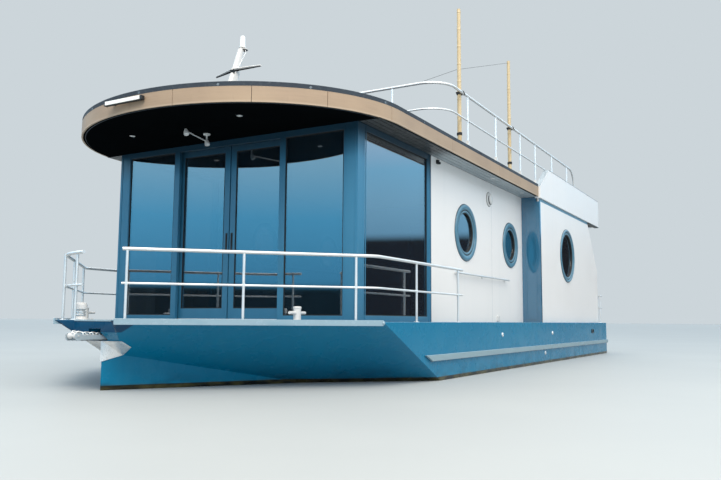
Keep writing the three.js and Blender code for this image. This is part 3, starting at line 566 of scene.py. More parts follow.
# glossy blue panel paint that mirrors the wall beside it
look = startLook("bulkheadGloss", "frame_paint", "#255f80",
                 {"Roughness": 0.1, "Coat Weight": 1.0, "Coat Roughness": 0.03, "Coat IOR": 1.8})
tint(look, (700, (0.4, 0.7)), "#2b6686", 0.6)
gloss(look, (250, (0.35, 0.7)), 0.07, 0.16)
relief(look, (700, (0.2, 0.8), (1, 1, 1), 1.0), 0.3)

# polished 316 stainless tube: bright, with a faint lengthwise haze of hand polishing
look = startLook("polishedTube", "stainless", "#dcdddd", {"Metallic": 0.6, "Roughness": 0.4})
tint(look, (300, (0.45, 0.8)), "#cdd0d1", 0.6)
gloss(look, (120, (0.3, 0.7)), 0.34, 0.46)

# stainless sheet, rubbed to a pale satin by the chain
look = startLook("brushedPlate", "stainless", "#f1f1f0", {"Metallic": 0.6, "Roughness": 0.34})
scratches = patches(look, 6, (0.35, 0.65), (1, 14, 0.6))
tint(look, (60, (0.5, 0.7)), "#d3d6d7", 0.6)
gloss(look, scratches, 0.26, 0.44)
relief(look, scratches, 0.12)

# tan composite board: matt, with a fine lengthwise grain and a bleached lower edge
look = startLook("claddingBoard", "fascia_paint", "#9f8b77", {"Roughness": 0.6})
grain = patches(look, 10, (0.35, 0.65), (30, 30, 1))
tint(look, grain, "#91806d", 0.5)
tint(look, (700, (0.4, 0.7)), "#a9957f", 0.7)
tint(look, (40, (0.62, 0.8), (1, 1, 5)), "#7c6b5b", 0.22)
tint(look, band(look, "Z", 3.665, 3.645), "#bbaa96", 0.6)  # bleached lower edge
relief(look, grain, 0.2)

# dark EPDM roofing: matt charcoal, dusty, with a fine granule
look = startLook("roofMembrane", "membrane", "#1f2935", {"Roughness": 0.78})
tint(look, (700, (0.4, 0.65)), "#2b3742", 0.8)
tint(look, (45, (0.55, 0.75)), "#4c565d", 0.4)
relief(look, (6, (0.35, 0.65)), 0.4)
relief(look, (180, (0.3, 0.7)), 1.2)

# black laminate that swallows nearly all light, dust-hazed in places
look = startLook("soffitLaminate", "black_plastic", "#090c0e",
                 {"Roughness": 0.4, "Specular IOR Level": 0.0})
tint(look, (300, (0.5, 0.75)), "#0b1013", 0.5)
gloss(look, (300, (0.35, 0.7)), 0.35, 0.5)

# grey plastic soffit board under the side overhang
look = startLook("soffitBoard", "black_plastic", "#939fa6", {"Roughness": 0.38})
tint(look, (200, (0.45, 0.7), (8, 1, 1)), "#9fabb1", 0.7)
# painted shade: the boards beside the saloon glass are darkened to near black
tint(look, band(look, "X", 2.35, 2.80), "#0e1417", 0.92)
gloss(look, (60, (0.35, 0.7)), 0.3, 0.48)
relief(look, (3, (0.3, 0.7)), 0.03)

# solar-control glass: its metal oxide coat throws the sky back and dims what is inside
look = startLook(
    "solarGlass", "window_glass", "#0c2130",
    {"Roughness": 0.02, "IOR": 2.5, "Alpha": 0.7, "Coat Weight": 1.0, "Coat Roughness": 0.01,
     "Coat IOR": 2.6}
)
tint(look, (900, (0.4, 0.7)), "#12293a", 0.5)
gloss(look, (350, (0.4, 0.75)), 0.01, 0.04)
relief(look, (1800, (0.2, 0.8), (1, 1, 1), 0.0), 0.6)  # roller wave of toughened glass

# dry bamboo: waxy ochre, darker rings at the joints, long pale fibres
look = startLook("bambooCulm", "bamboo", "#c9b998", {"Roughness": 0.42})
fibres = patches(look, 5, (0.3, 0.7), (1, 1, 40))
tint(look, fibres, "#b9a479", 0.6)
tint(look, (200, (0.5, 0.75), (1, 1, 2)), "#a58a5c", 0.5)
gloss(look, (40, (0.3, 0.7)), 0.32, 0.55)
relief(look, fibres, 0.15)

# black moulded ABS, finely textured
look = startLook("mouldedPlastic", "black_plastic", "#181b1e", {"Roughness": 0.5})
tint(look, (90, (0.5, 0.75)), "#24282c", 0.7)
relief(look, (1.5, (0.3, 0.7)), 0.06)

# white powder coat on alloy: clean, satin, with a little grime low down
look = startLook("whitePowderCoat", "white_coat", "#d1d4d6",
                 {"Roughness": 0.34, "Coat Weight": 0.2, "Coat Roughness": 0.2})
tint(look, (60, (0.55, 0.8), (1, 1, 4)), "#cdd2d3", 0.5)
gloss(look, (50, (0.35, 0.7)), 0.28, 0.42)
relief(look, (3, (0.3, 0.7)), 0.04)

# grey coated sheet on the roof's edges: flat, a touch chalky
look = startLook("zincGrey", "fascia_paint", "#9dacb6", {"Roughness": 0.45})
tint(look, (220, (0.4, 0.7)), "#8c9ca7", 0.7)
gloss(look, (80, (0.35, 0.7)), 0.36, 0.54)
relief(look, (300, (0.2, 0.8)), 0.4)

# pale paint on the rubbing strake, knocked and scraped through along its length
look = startLook("scuffedEdgePaint", "rail_paint", "#86a0ab", {"Roughness": 0.42})
tint(look, (60, (0.5, 0.66), (12, 1, 1)), "#7f98a5", 0.7)
tint(look, (20, (0.66, 0.72), (8, 1, 1)), "#5f6a6e", 0.6)
relief(look, (40, (0.4, 0.6), (10, 1, 1)), 0.4)

# oak veneer under satin varnish
look = startLook("oakLaminate", "joinery", "#b48a5d",
                 {"Roughness": 0.4, "Coat Weight": 0.3, "Coat Roughness": 0.2})
grain = patches(look, 9, (0.3, 0.7), (1, 1, 30))
tint(look, grain, "#94693f", 0.7)
relief(look, grain, 0.12)

# laid floor planks, seen dimly through the glass
look = startLook("plankFloor", "joinery", "#8b6f55", {"Roughness": 0.45})
grain = patches(look, 14, (0.3, 0.7), (26, 1, 1))
tint(look, grain, "#6d543e", 0.7)
relief(look, grain, 0.1)

# painted inner linings and worktops
look = startLook("cabinWhite", "joinery", "#cfd2d1", {"Roughness": 0.5})
tint(look, (400, (0.4, 0.7)), "#c2c6c6", 0.7)
relief(look, (5, (0.3, 0.7)), 0.05)

# charcoal lacquer on the motor's moulded cowl
look = startLook("cowlLacquer", "engine_cover", "#2a3035",
                 {"Roughness": 0.25, "Coat Weight": 0.7, "Coat Roughness": 0.08})
tint(look, (120, (0.5, 0.75)), "#363d43", 0.7)
gloss(look, (50, (0.35, 0.7)), 0.2, 0.36)

# grey cast alloy of the motor's leg and propeller, grained by sand and salt
look = startLook("castAlloy", "engine_cover", "#6f767b", {"Metallic": 0.7, "Roughness": 0.5})
tint(look, (35, (0.45, 0.7)), "#555c61", 0.7)
relief(look, (2, (0.3, 0.7)), 0.12)

# hot-dip zinc, dulled to spangled grey
look = startLook("galvanisedChain", "stainless", "#e6e8e8", {"Metallic": 0.5, "Roughness": 0.42})
tint(look, (12, (0.45, 0.6)), "#c6cacb", 0.8)
relief(look, (3, (0.3, 0.7)), 0.1)

# black glazing rubber, matt with a dusty bloom
look = startLook("sealRubber", "black_plastic", "#121416", {"Roughness": 0.7})
tint(look, (30, (0.5, 0.75)), "#24272a", 0.6)
relief(look, (2, (0.3, 0.7)), 0.05)

# frosted lamp cover, unlit
look = startLook("frostedLens", "white_coat", "#f3f5f4",
                 {"Roughness": 0.18, "Coat Weight": 0.5, "IOR": 1.58})
tint(look, (20, (0.5, 0.75)), "#dfe4e3", 0.6)
relief(look, (4, (0.3, 0.7)), 0.15)

# braided black polypropylene; the braid is drawn at twice its real size so that it shows
look = startLook("blackCord", "black_plastic", "#17181a", {"Roughness": 0.75})
braid = patches(look, 3, (0.35, 0.65), (1, 1, 2))
tint(look, braid, "#2c2e31", 0.8)
relief(look, braid, 0.3)

print("materials:", len(looks))


# Small parts that many pieces share

screwHead = latheMesh([(0, 0.0035), (0.0035, 0.003), (0.0065, 0.0015), (0.007, 0.0), (0, 0.0)], 10)
boltHead = latheMesh(
    [(0, 0.009), (0.008, 0.009), (0.0105, 0.007), (0.0105, 0.003), (0.014, 0.0028), (0.014, 0.0), (0, 0.0)],
    6
)
railFlange = latheMesh(
    [(0, 0.009), (0.0165, 0.009), (0.019, 0.0065), (0.034, 0.0055), (0.038, 0.003), (0.038, 0.0), (0, 0.0)],
    24
)


def boltRing(centre, axis, radius, count, phase=0.0):
    # places for bolts in a ring about an axis
    turn = Vector((0, 0, 1)).rotation_difference(Vector(axis)).to_matrix()
    angles = [phase + 2 * math.pi * k / count for k in range(count)]
    return [(Vector(centre) + turn @ Vector((radius * math.cos(a), radius * math.sin(a), 0)), axis)
            for a in angles]


# Hull

def bowPoint(along, inboard, z, side=1):
    # a point over the bow edge, a share of its way aft and moved inboard
    x = hull["noseX"] + along * (hull["shoulderX"] - hull["noseX"]) - inboard * bowOut.x
    y = hull["noseHalf"] + along * (hull["beam"] - hull["noseHalf"]) - inboard * bowOut.y
    return Vector((x, side * y, z))


def dressHull():
    dressNode("hull", "hullEnamel", 0.005)
    dressNode("stem_chafe_plate", "brushedPlate", 0.002)
    for side in sides:
        dressNode(f"rub_rail_{side}", "scuffedEdgePaint", 0.006)


notch = {"backX": 6.738, "backHalf": 0.317}
gunwale = {"upstand": 0.020, "height": 0.064, "proud": 0.010, "inner": 0.008, "trim": 0.006,
           "trimHeight": 0.016, "capRadius": 0.022}


def makeGunwale():
    # pale band that stands a little above the bow edges, with a round stop where the side begins
    deck = hull["deckZ"]
    top = deck + gunwale["upstand"]
    bottom = top - gunwale["height"]
    inner = (bottom - deck) * hull["flareRun"]
    lap = -gunwale["inner"]
    section = [(gunwale["proud"], top), (gunwale["proud"], bottom), (inner, bottom), (lap, deck + lap / 2),
               (lap, top)]
    bm = bmesh.new()
    for side in sides.values():
        ends = []
        for along in (0.0, 1.0):
            ends.append([bm.verts.new(bowPoint(along, -out, z, side)) for out, z in section])
        first, last = ends
        bm.faces.new(first)
        bm.faces.new(last)
        for k in range(len(section)):
            n = (k + 1) % len(section)
            bm.faces.new((first[k], first[n], last[n], last[k]))
        stop = bowPoint(1.0, -0.002, top - gunwale["height"] / 2, side)
        profile = [(0, 0.016), (0.014, 0.015), (gunwale["capRadius"], 0.008), (gunwale["capRadius"], 0.0),
                   (0, 0.0)]
        addLathe(bm, profile, stop, (0, side, 0), 20)
    trimTop = deck + 0.004
    addBox(bm, (notch["backX"], -notch["backHalf"], trimTop - gunwale["trimHeight"]),
           (notch["backX"] + gunwale["trim"], notch["backHalf"], trimTop))
    finishPiece(bm, "gunwale_band", "gunwaleEnamel", bevel=0.003)


deckCoat = {"thickness": 0.002, "margin": 0.11, "wallY": 2.0, "wallGap": 0.04, "frontX": 4.700, "lap": 0.02,
            "noseX": 6.630, "sideAftX": -1.640, "aftWallX": -5.700, "sternX": -6.850, "wellX": -6.300,
            "wellHalf": 0.430, "wingY": 2.250}


def makeDeckCoat():
    # anti-slip panels on the decks, with a plain painted margin round them
    d = deckCoat
    low = hull["deckZ"]
    high = low + d["thickness"]
    sideY = hull["beam"] - d["margin"]
    knee = bowPoint(1.0, d["margin"], 0)
    kneeX = knee.x + (sideY - knee.y) * bowEdge.x / bowEdge.y
    noseAlong = (hull["noseX"] - d["margin"] * bowOut.x - d["noseX"]) / (hull["noseX"] - hull["shoulderX"])
    tip = bowPoint(noseAlong, d["margin"], 0)
    backX = d["frontX"] + d["lap"]
    half = [(backX, sideY), (kneeX, sideY), (tip.x, tip.y)]
    bm = bmesh.new()
    addPrism(bm, half + [(x, -y) for x, y in reversed(half)], low, high)
    for side in sides.values():
        addSideBox(bm, side, (d["sideAftX"], d["wallY"] + d["wallGap"], low),
                   (d["frontX"] - d["lap"], sideY, high))
        addSideBox(bm, side, (d["sternX"], d["wellHalf"], low), (d["aftWallX"], d["wingY"], high))
    inner = d["wellHalf"] - d["lap"]
    addBox(bm, (d["wellX"], -inner, low), (d["aftWallX"], inner, high))
    finishPiece(bm, "deck_coating", "antiSlipPaint")


outlets = {
    "rings": [(0.910, 1.050), (-1.970, 1.045), (-1.460, 0.690)], "radius": 0.034,
    "vent": {"x": -5.360, "z": 1.050, "halfLength": 0.110, "halfHeight": 0.040, "louvres": 4},
}


def makeOutlets():
    bm = bmesh.new()
    r = outlets["radius"]
    collar = latheMesh([
        (r * 0.45, 0.0), (r * 0.45, 0.012), (r * 0.62, 0.015), (r * 0.85, 0.012), (r, 0.004), (r, 0.0),
    ], 24)
    for side in sides.values():
        spots = [((x, side * (hull["beam"] + 0.0005), z), (0, side, 0)) for x, z in outlets["rings"]]
        addCopies(bm, collar, spots)
    finishPiece(bm, "skin_fittings", "polishedTube")
    bm = bmesh.new()
    vent = outlets["vent"]
    for side in sides.values():
        near, far = sorted((side * hull["beam"], side * (hull["beam"] + 0.012)))
        outer = (vent["x"] - vent["halfLength"], vent["z"] - vent["halfHeight"],
                 vent["x"] + vent["halfLength"], vent["z"] + vent["halfHeight"])
        inner = (outer[0] + 0.012, outer[1] + 0.012, outer[2] - 0.012, outer[3] - 0.012)
        addFrame(bm, outer, inner, near, far, "y")
        step = (inner[3] - inner[1]) / vent["louvres"]
        for k in range(vent["louvres"]):
            z = inner[1] + k * step
            face = side * (hull["beam"] + 0.001)
            tip = side * (hull["beam"] + 0.009)
            addPrism(bm, [(face, z), (face, z + step), (tip, z + 0.3 * step)], inner[0] - 0.002,
                     inner[2] + 0.002, "x")
    finishPiece(bm, "hull_vents", "mouldedPlastic", bevel=0.001)


dressHull()
makeGunwale()
makeDeckCoat()
makeOutlets()
print("hull done")


# Foredeck fittings

roller = {
    "backX": 6.400, "frontX": 7.040, "halfWidth": 0.075, "cheek": 0.010, "floorZ": 1.0303, "height": 0.056,
    "wheelRadius": 0.032, "axleX": 7.002, "axleZ": 1.0785,
}


def makeRoller():
    bm = bmesh.new()
    low = roller["floorZ"]
    top = low + roller["height"]
    half = roller["halfWidth"]
    addBox(bm, (roller["backX"], -half, low), (roller["frontX"] - 0.07, half, low + roller["cheek"]))
    cheek = [(roller["backX"], low), (roller["frontX"] - 0.02, low), (roller["frontX"], low + 0.022),
             (roller["frontX"], top + 0.010), (roller["frontX"] - 0.025, top + 0.026),
             (roller["frontX"] - 0.06, top + 0.020), (roller["frontX"] - 0.12, top), (roller["backX"], top)]
    for side in sides.values():
        addSidePrism(bm, cheek, side, half, half - roller["cheek"])
    finishPiece(bm, "bow_roller_channel", "zincGrey", ["bow_roller"], bevel=0.002)
    bm = bmesh.new()
    r = roller["wheelRadius"]
    groove = [(0, -0.060), (r * 0.9, -0.060), (r, -0.054), (r, -0.040), (r * 0.5, -0.010),
              (r * 0.5, 0.010), (r, 0.040), (r, 0.054), (r * 0.9, 0.060), (0, 0.060)]
    centre = (roller["axleX"], 0, roller["axleZ"])
    addLathe(bm, groove, centre, (0, 1, 0), 28)
    finishPiece(bm, "bow_roller_wheel", "whitePowderCoat")
    bm = bmesh.new()
    pin = half + 0.008
    addPipes(bm, [([(centre[0], -pin, centre[2]), (centre[0], pin, centre[2])], 0.009)])
    bailX = roller["frontX"] - 0.10
    bail = [(bailX, -half + 0.005, top - 0.004), (bailX, -half + 0.005, top + 0.030),
            (bailX, half - 0.005, top + 0.030), (bailX, half - 0.005, top - 0.004)]
    addPipes(bm, [(bail, 0.006, 0.02)])
    finishPiece(bm, "bow_roller_pin", "polishedTube")


chain = {"pitch": 0.042, "wire": 0.0065, "width": 0.044, "backX": 6.430}


def makeChain():
    # the chain comes level out of its pocket, climbs over the roller and is shackled to its pin
    floor = roller["floorZ"] + roller["cheek"] + 0.020
    path = [(chain["backX"], 0, floor + 0.030), (roller["axleX"] - 0.30, 0, floor + 0.034),
            (roller["axleX"] - 0.09, 0, floor + 0.042),
            (roller["axleX"] - 0.016, 0, roller["axleZ"] + 0.036)]
    bm = bmesh.new()
    bm.from_mesh(runTree(chainTree, skeletonMesh([(path, 0)]), {
        "Pitch": chain["pitch"], "Wire": chain["wire"], "Link Width": chain["width"],
    }))
    x, z = roller["axleX"], roller["axleZ"]
    shackle = [(x - 0.024, 0, z + 0.030), (x + 0.004, 0, z + 0.042), (x + 0.026, 0, z + 0.026)]
    addPipes(bm, [(shackle, 0.006, 0.012)])
    finishPiece(bm, "anchor_chain", "galvanisedChain", sharp=60)


windlass = {"x": 6.560, "y": -0.444, "baseRadius": 0.085, "headZ": 0.120, "headRadius": 0.072,
            "height": 0.195}


def makeWindlass():
    # an upright capstan: flared foot, ribbed waist for the chain, rounded drum head
    w = windlass
    centre = (w["x"], w["y"], hull["deckZ"])
    base, head = w["baseRadius"], w["headRadius"]
    bm = bmesh.new()
    addLathe(
        bm,
        [(0, 0.0005), (base, 0.0005), (base, 0.012), (base - 0.006, 0.020), (base - 0.022, 0.034),
         (base - 0.030, 0.040), (0.046, 0.044), (0.044, 0.100), (0.050, w["headZ"] - 0.010),
         (head, w["headZ"]), (head, w["height"] - 0.030), (head - 0.006, w["height"] - 0.012),
         (head - 0.020, w["height"] - 0.002), (0.020, w["height"]), (0, w["height"])],
        centre, steps=40
    )
    finishPiece(bm, "windlass_body", "whitePowderCoat", ["windlass"])
    bm = bmesh.new()
    addLathe(
        bm,
        [(0.044, 0.048), (0.060, 0.050), (0.060, 0.058), (0.048, 0.068), (0.048, 0.076), (0.060, 0.086),
         (0.060, 0.094), (0.044, 0.096)],
        centre, steps=32
    )
    addCopies(bm, screwHead, boltRing(Vector(centre) + Vector((0, 0, 0.012)), (0, 0, 1), base - 0.009, 6))
    finishPiece(bm, "windlass_gypsy", "polishedTube")


bollard = {"x": 5.446, "y": 1.695, "radius": 0.042, "height": 0.165, "barZ": 0.095, "barHalf": 0.150,
           "barRadius": 0.017}


def makeBollards():
    for name, side in sides.items():
        bm = bmesh.new()
        x, y, z = bollard["x"], side * bollard["y"], hull["deckZ"]
        r = bollard["radius"]
        addBox(bm, (x - 0.090, y - 0.060, z + 0.0005), (x + 0.090, y + 0.060, z + 0.010))
        top = bollard["height"]
        addLathe(
            bm,
            [(0, 0.008), (r, 0.008), (r, top - 0.026), (r + 0.004, top - 0.022), (r + 0.004, top - 0.008),
             (r - 0.006, top), (0, top + 0.002)],
            (x, y, z), steps=32
        )
        bar = bollard["barHalf"]
        addPipes(
            bm,
            [([(x - bar, y, z + bollard["barZ"]), (x + bar, y, z + bollard["barZ"])], bollard["barRadius"])]
        )
        corners = [((x + a * 0.072, y + b * 0.044, z + 0.010), (0, 0, 1)) for a in (-1, 1) for b in (-1, 1)]
        addCopies(bm, boltHead, corners)
        finishPiece(bm, f"cross_bollard_{name}", "whitePowderCoat", [f"bow_bollard_{name}"], bevel=0.0015)


cleat = {"x": -6.700, "y": 2.150, "hornZ": 0.070, "hornHalf": 0.110, "legX": 0.035}


def makeCleats():
    for name, side in sides.items():
        bm = bmesh.new()
        x, y, z = cleat["x"], side * cleat["y"], hull["deckZ"]
        addBox(bm, (x - 0.060, y - 0.030, z + 0.0005), (x + 0.060, y + 0.030, z + 0.012))
        runs = [
            ([(x + s * cleat["legX"], y, z + 0.010), (x + s * cleat["legX"], y, z + cleat["hornZ"])], 0.012)
            for s in (-1, 1)
        ]
        horn = [(x - cleat["hornHalf"], y, z + cleat["hornZ"] + 0.006),
                (x - cleat["legX"], y, z + cleat["hornZ"]), (x + cleat["legX"], y, z + cleat["hornZ"]),
                (x + cleat["hornHalf"], y, z + cleat["hornZ"] + 0.006)]
        addPipes(bm, [*runs, (horn, 0.014, 0.05)])
        addCopies(bm, boltHead, [((x + s * 0.048, y, z + 0.012), (0, 0, 1)) for s in (-1, 1)])
        finishPiece(bm, f"deck_cleat_{name}", "polishedTube", [f"stern_cleat_{name}"], bevel=0.0015)


bowRail = {"topZ": 1.975, "midZ": 1.620, "inboard": 0.050, "frontAlong": 0.020, "sideY": 2.390,
           "aftX": 2.370, "bend": 0.21, "topRadius": 0.019, "midRadius": 0.0125, "postRadius": 0.0145,
           "noseEnd": (6.735, 0.226), "corner": (6.672, 0.622), "cornerBend": 0.55,
           "nosePost": (6.705, 0.357), "cornerPost": 0.105, "bowPosts": [0.037, 0.457, 0.893],
           "sidePosts": [3.870, 2.530]}


def makeBowRails():
    # the port rail stops short of the nose, the starboard one runs on across it
    r = bowRail
    kneeAlong = (
        r["sideY"] + r["inboard"] * bowOut.y - hull["noseHalf"]
    ) / (hull["beam"] - hull["noseHalf"])
    for name, side in sides.items():
        bm = bmesh.new()
        lineOnDeck = [bowPoint(kneeAlong, r["inboard"], 0, side), Vector((r["aftX"], side * r["sideY"], 0))]
        feet = [Vector((x, side * r["sideY"], 0)) for x in r["sidePosts"]]
        alongs = r["bowPosts"]
        if name == "port":
            lineOnDeck = [bowPoint(r["frontAlong"], r["inboard"], 0, side), *lineOnDeck]
        else:
            nose, corner, post = (
                Vector((x, side * y, 0)) for x, y in (r["noseEnd"], r["corner"], r["nosePost"])
            )
            onward = (lineOnDeck[0] - corner).normalized() * r["cornerBend"]
            turn = [corner.lerp(nose, 0.7), corner.lerp(nose, 0.3) + onward * 0.12, corner + onward * 0.42,
                    corner + onward]
            lineOnDeck = [nose, *turn, *lineOnDeck]
            alongs = [r["cornerPost"], *alongs[1:]]
            feet.append(post)
        feet += [bowPoint(along, r["inboard"], 0, side) for along in alongs]
        runs = []
        for z, radius in ((r["topZ"], r["topRadius"]), (r["midZ"], r["midRadius"])):
            line = [spot + Vector((0, 0, z)) for spot in lineOnDeck]
            runs.append((line, radius, r["bend"]))
        for foot in feet:
            runs.append(
                ([foot + Vector((0, 0, hull["deckZ"] + 0.001)), foot + Vector((0, 0, r["topZ"]))],
                 r["postRadius"])
            )
            middle = foot + Vector((0, 0, r["midZ"]))
            runs.append(([middle - Vector((0, 0, 0.022)), middle + Vector((0, 0, 0.022))], 0.017))
        addPipes(bm, runs)
        plates = [foot + Vector((0, 0, hull["deckZ"] + 0.0005)) for foot in feet]
        addCopies(bm, railFlange, [(plate, (0, 0, 1)) for plate in plates])
        screws = [place for plate in plates
                  for place in boltRing(plate + Vector((0, 0, 0.005)), (0, 0, 1), 0.028, 3, 0.5)]
        addCopies(bm, screwHead, screws)
        finishPiece(bm, f"bow_rail_tube_{name}", "polishedTube", [f"bow_rail_{name}"])


grabRail = {"x0": -0.700, "x1": 1.770, "y": 2.055, "z": 1.990, "radius": 0.016, "wallY": 2.000}


def makeGrabRails():
    g = grabRail
    for name, side in sides.items():
        bm = bmesh.new()
        y = side * g["y"]
        runs = [([(g["x0"], y, g["z"]), (g["x1"], y, g["z"])], g["radius"])]
        feet = [g["x0"] + t * (g["x1"] - g["x0"]) for t in (0.04, 0.5, 0.96)]
        for x in feet:
            runs.append(([(x, side * (g["wallY"] + 0.001), g["z"]), (x, y, g["z"])], 0.010))
        addPipes(bm, runs)
        addCopies(bm, railFlange, [((x, side * (g["wallY"] + 0.0005), g["z"]), (0, side, 0)) for x in feet])
        finishPiece(bm, f"grab_rail_tube_{name}", "polishedTube", [f"grab_rail_{name}"])


makeRoller()
makeChain()
makeWindlass()
makeBollards()
makeCleats()
makeBowRails()
makeGrabRails()
print("foredeck done")


# Saloon: frames, glass, doors

saloon = {"frontX": 4.670, "stileOut": 0.940, "glassOut": 1.800, "sillZ": 1.310, "headZ": 3.560,
          "sealWidth": 0.012, "wallY": 2.000, "wallJoint": (2.566, 2.580), "postZ0": 1.245, "postZ1": 3.632}
leaf = {
    "centreX": 4.580, "thickness": 0.040, "innerY": 0.008, "outerY": 0.905, "bottomZ": 1.268, "topZ": 3.574,
    "stile": 0.088, "bottomRail": 0.132,
}
sideGlass = {"x0": 2.690, "x1": 4.4997, "z0": 1.315, "z1": 3.560, "outerY": 2.000}


def dressSaloon():
    dressNode("saloon_front", "frameCoating", 0.003)
    for side in sides:
        dressNode(f"sliding_door_{side}", "frameCoating", 0.003)
        dressNode(f"side_window_frame_{side}", "frameCoating", 0.003)
        for pane in ("front_pane", "sliding_door_glass", "side_window"):
            glass = frame["nodes"][f"{pane}_{side}"]
            glass.data.materials.clear()
            glass.data.materials.append(looks["solarGlass"])


def makeSeals():
    # glazing rubbers round every pane, one piece for each body
    w = saloon["sealWidth"]
    bm = bmesh.new()
    for side in sides.values():
        near, far = sorted((side * saloon["stileOut"], side * saloon["glassOut"]))
        outer = (near, saloon["sillZ"], far, saloon["headZ"])
        inner = (near + w, saloon["sillZ"] + w, far - w, saloon["headZ"] - w)
        addFrame(bm, outer, inner, saloon["frontX"] - 0.017, saloon["frontX"] - 0.008, "x")
        outer = (sideGlass["x0"], sideGlass["z0"], sideGlass["x1"], sideGlass["z1"])
        inner = (outer[0] + w, outer[1] + w, outer[2] - w, outer[3] - w)
        near, far = sorted((side * (sideGlass["outerY"] - 0.024), side * (sideGlass["outerY"] - 0.014)))
        addFrame(bm, outer, inner, near, far, "y")
        back, fore = saloon["wallJoint"]
        face, root = side * (saloon["wallY"] + 0.0012), side * (saloon["wallY"] - 0.010)
        addPrism(bm, [(back, face), (fore, face), (fore, root), (back, root)], saloon["postZ0"],
                 saloon["postZ1"] + 0.004)
    finishPiece(bm, "glazing_rubber", "sealRubber")
    for name, side in sides.items():
        bm = bmesh.new()
        near, far = sorted(
            (side * (leaf["innerY"] + leaf["stile"]), side * (leaf["outerY"] - leaf["stile"]))
        )
        low, high = leaf["bottomZ"] + leaf["bottomRail"], leaf["topZ"] - leaf["stile"]
        face = leaf["centreX"] + 0.009
        addFrame(bm, (near, low, far, high), (near + w, low + w, far - w, high - w), face, face + 0.008,
                 "x")
        finishPiece(bm, f"door_rubber_{name}", "sealRubber", body=f"door_leaf_{name}")


handle = {"z0": 2.215, "z1": 2.375, "fromEdge": 0.036, "standOff": 0.0085, "radius": 0.0045,
          "plateHalf": 0.016}


def makeHandles():
    # flat pulls, low enough to pass behind the fixed panes
    for name, side in sides.items():
        bm = bmesh.new()
        y = side * (leaf["innerY"] + handle["fromEdge"])
        face = leaf["centreX"] + leaf["thickness"] / 2
        out = face + handle["standOff"]
        addPipes(
            bm,
            [
                (
                    [(face, y, handle["z0"]), (out, y, handle["z0"]), (out, y, handle["z1"]),
                     (face, y, handle["z1"])],
                    handle["radius"], 0.006
                )
            ]
        )
        plate = handle["plateHalf"]
        addBox(bm, (face + 0.0003, y - plate, handle["z0"] - 0.05),
               (face + 0.004, y + plate, handle["z1"] + 0.02))
        addLathe(bm, [(0, 0.008), (0.008, 0.008), (0.009, 0.0), (0, 0.0)],
                 (face + 0.0035, y, handle["z0"] - 0.030), (1, 0, 0), 16)
        finishPiece(bm, f"door_handle_{name}", "mouldedPlastic", bevel=0.001, body=f"door_leaf_{name}")


doorTrack = {"ridges": [4.556, 4.604], "ridgeHalf": 0.004, "half": 1.790, "z0": 1.260, "z1": 1.2655}


def makeTracks():
    # runner ribs that the leaves stand over
    bm = bmesh.new()
    for x in doorTrack["ridges"]:
        addBox(bm, (x - doorTrack["ridgeHalf"], -doorTrack["half"], doorTrack["z0"]),
               (x + doorTrack["ridgeHalf"], doorTrack["half"], doorTrack["z1"]))
    finishPiece(bm, "door_track_ribs", "brushedPlate", bevel=0.001)


cornerTrim = {"half": 0.006, "frontYs": [1.815, 1.960], "sideHalf": 0.008, "sideXs": [4.480, 2.605, 2.655]}


def makeCornerTrim():
    # narrow cover strips on the corner posts and the side window's aft post
    c = cornerTrim
    face, wallY = saloon["frontX"], saloon["wallY"]
    low, high = saloon["postZ0"], saloon["postZ1"]
    bm = bmesh.new()
    for side in sides.values():
        for y in c["frontYs"]:
            addSideBox(bm, side, (face - 0.001, y - c["half"], low), (face + 0.005, y + c["half"], high))
        for x in c["sideXs"]:
            addSideBox(bm, side, (x - c["sideHalf"], wallY - 0.001, low),
                       (x + c["sideHalf"], wallY + 0.006, high))
    finishPiece(bm, "frame_cover_strips", "frameCoating", bevel=0.0015)


dressSaloon()
makeSeals()
makeHandles()
makeTracks()
makeCornerTrim()
print("saloon done")


# Walls and round windows

portholes = {
    "rows": [{"name": "porthole_saloon_fore", "x": 1.243, "radius": 0.450, "ring": 0.135, "wallY": 2.000},
             {"name": "porthole_saloon_aft", "x": -0.947, "radius": 0.412, "ring": 0.135, "wallY": 2.000},
             {"name": "porthole_cabin", "x": -3.650, "radius": 0.562, "ring": 0.107, "wallY": 2.360}],
    "z": 2.650, "depth": 0.026, "hub": 0.060, "wall": 0.060, "glassBack": 0.030, "pane": 0.010,
    "clamp": 0.034, "seal": 0.014, "fit": 0.0004, "steps": 96
}


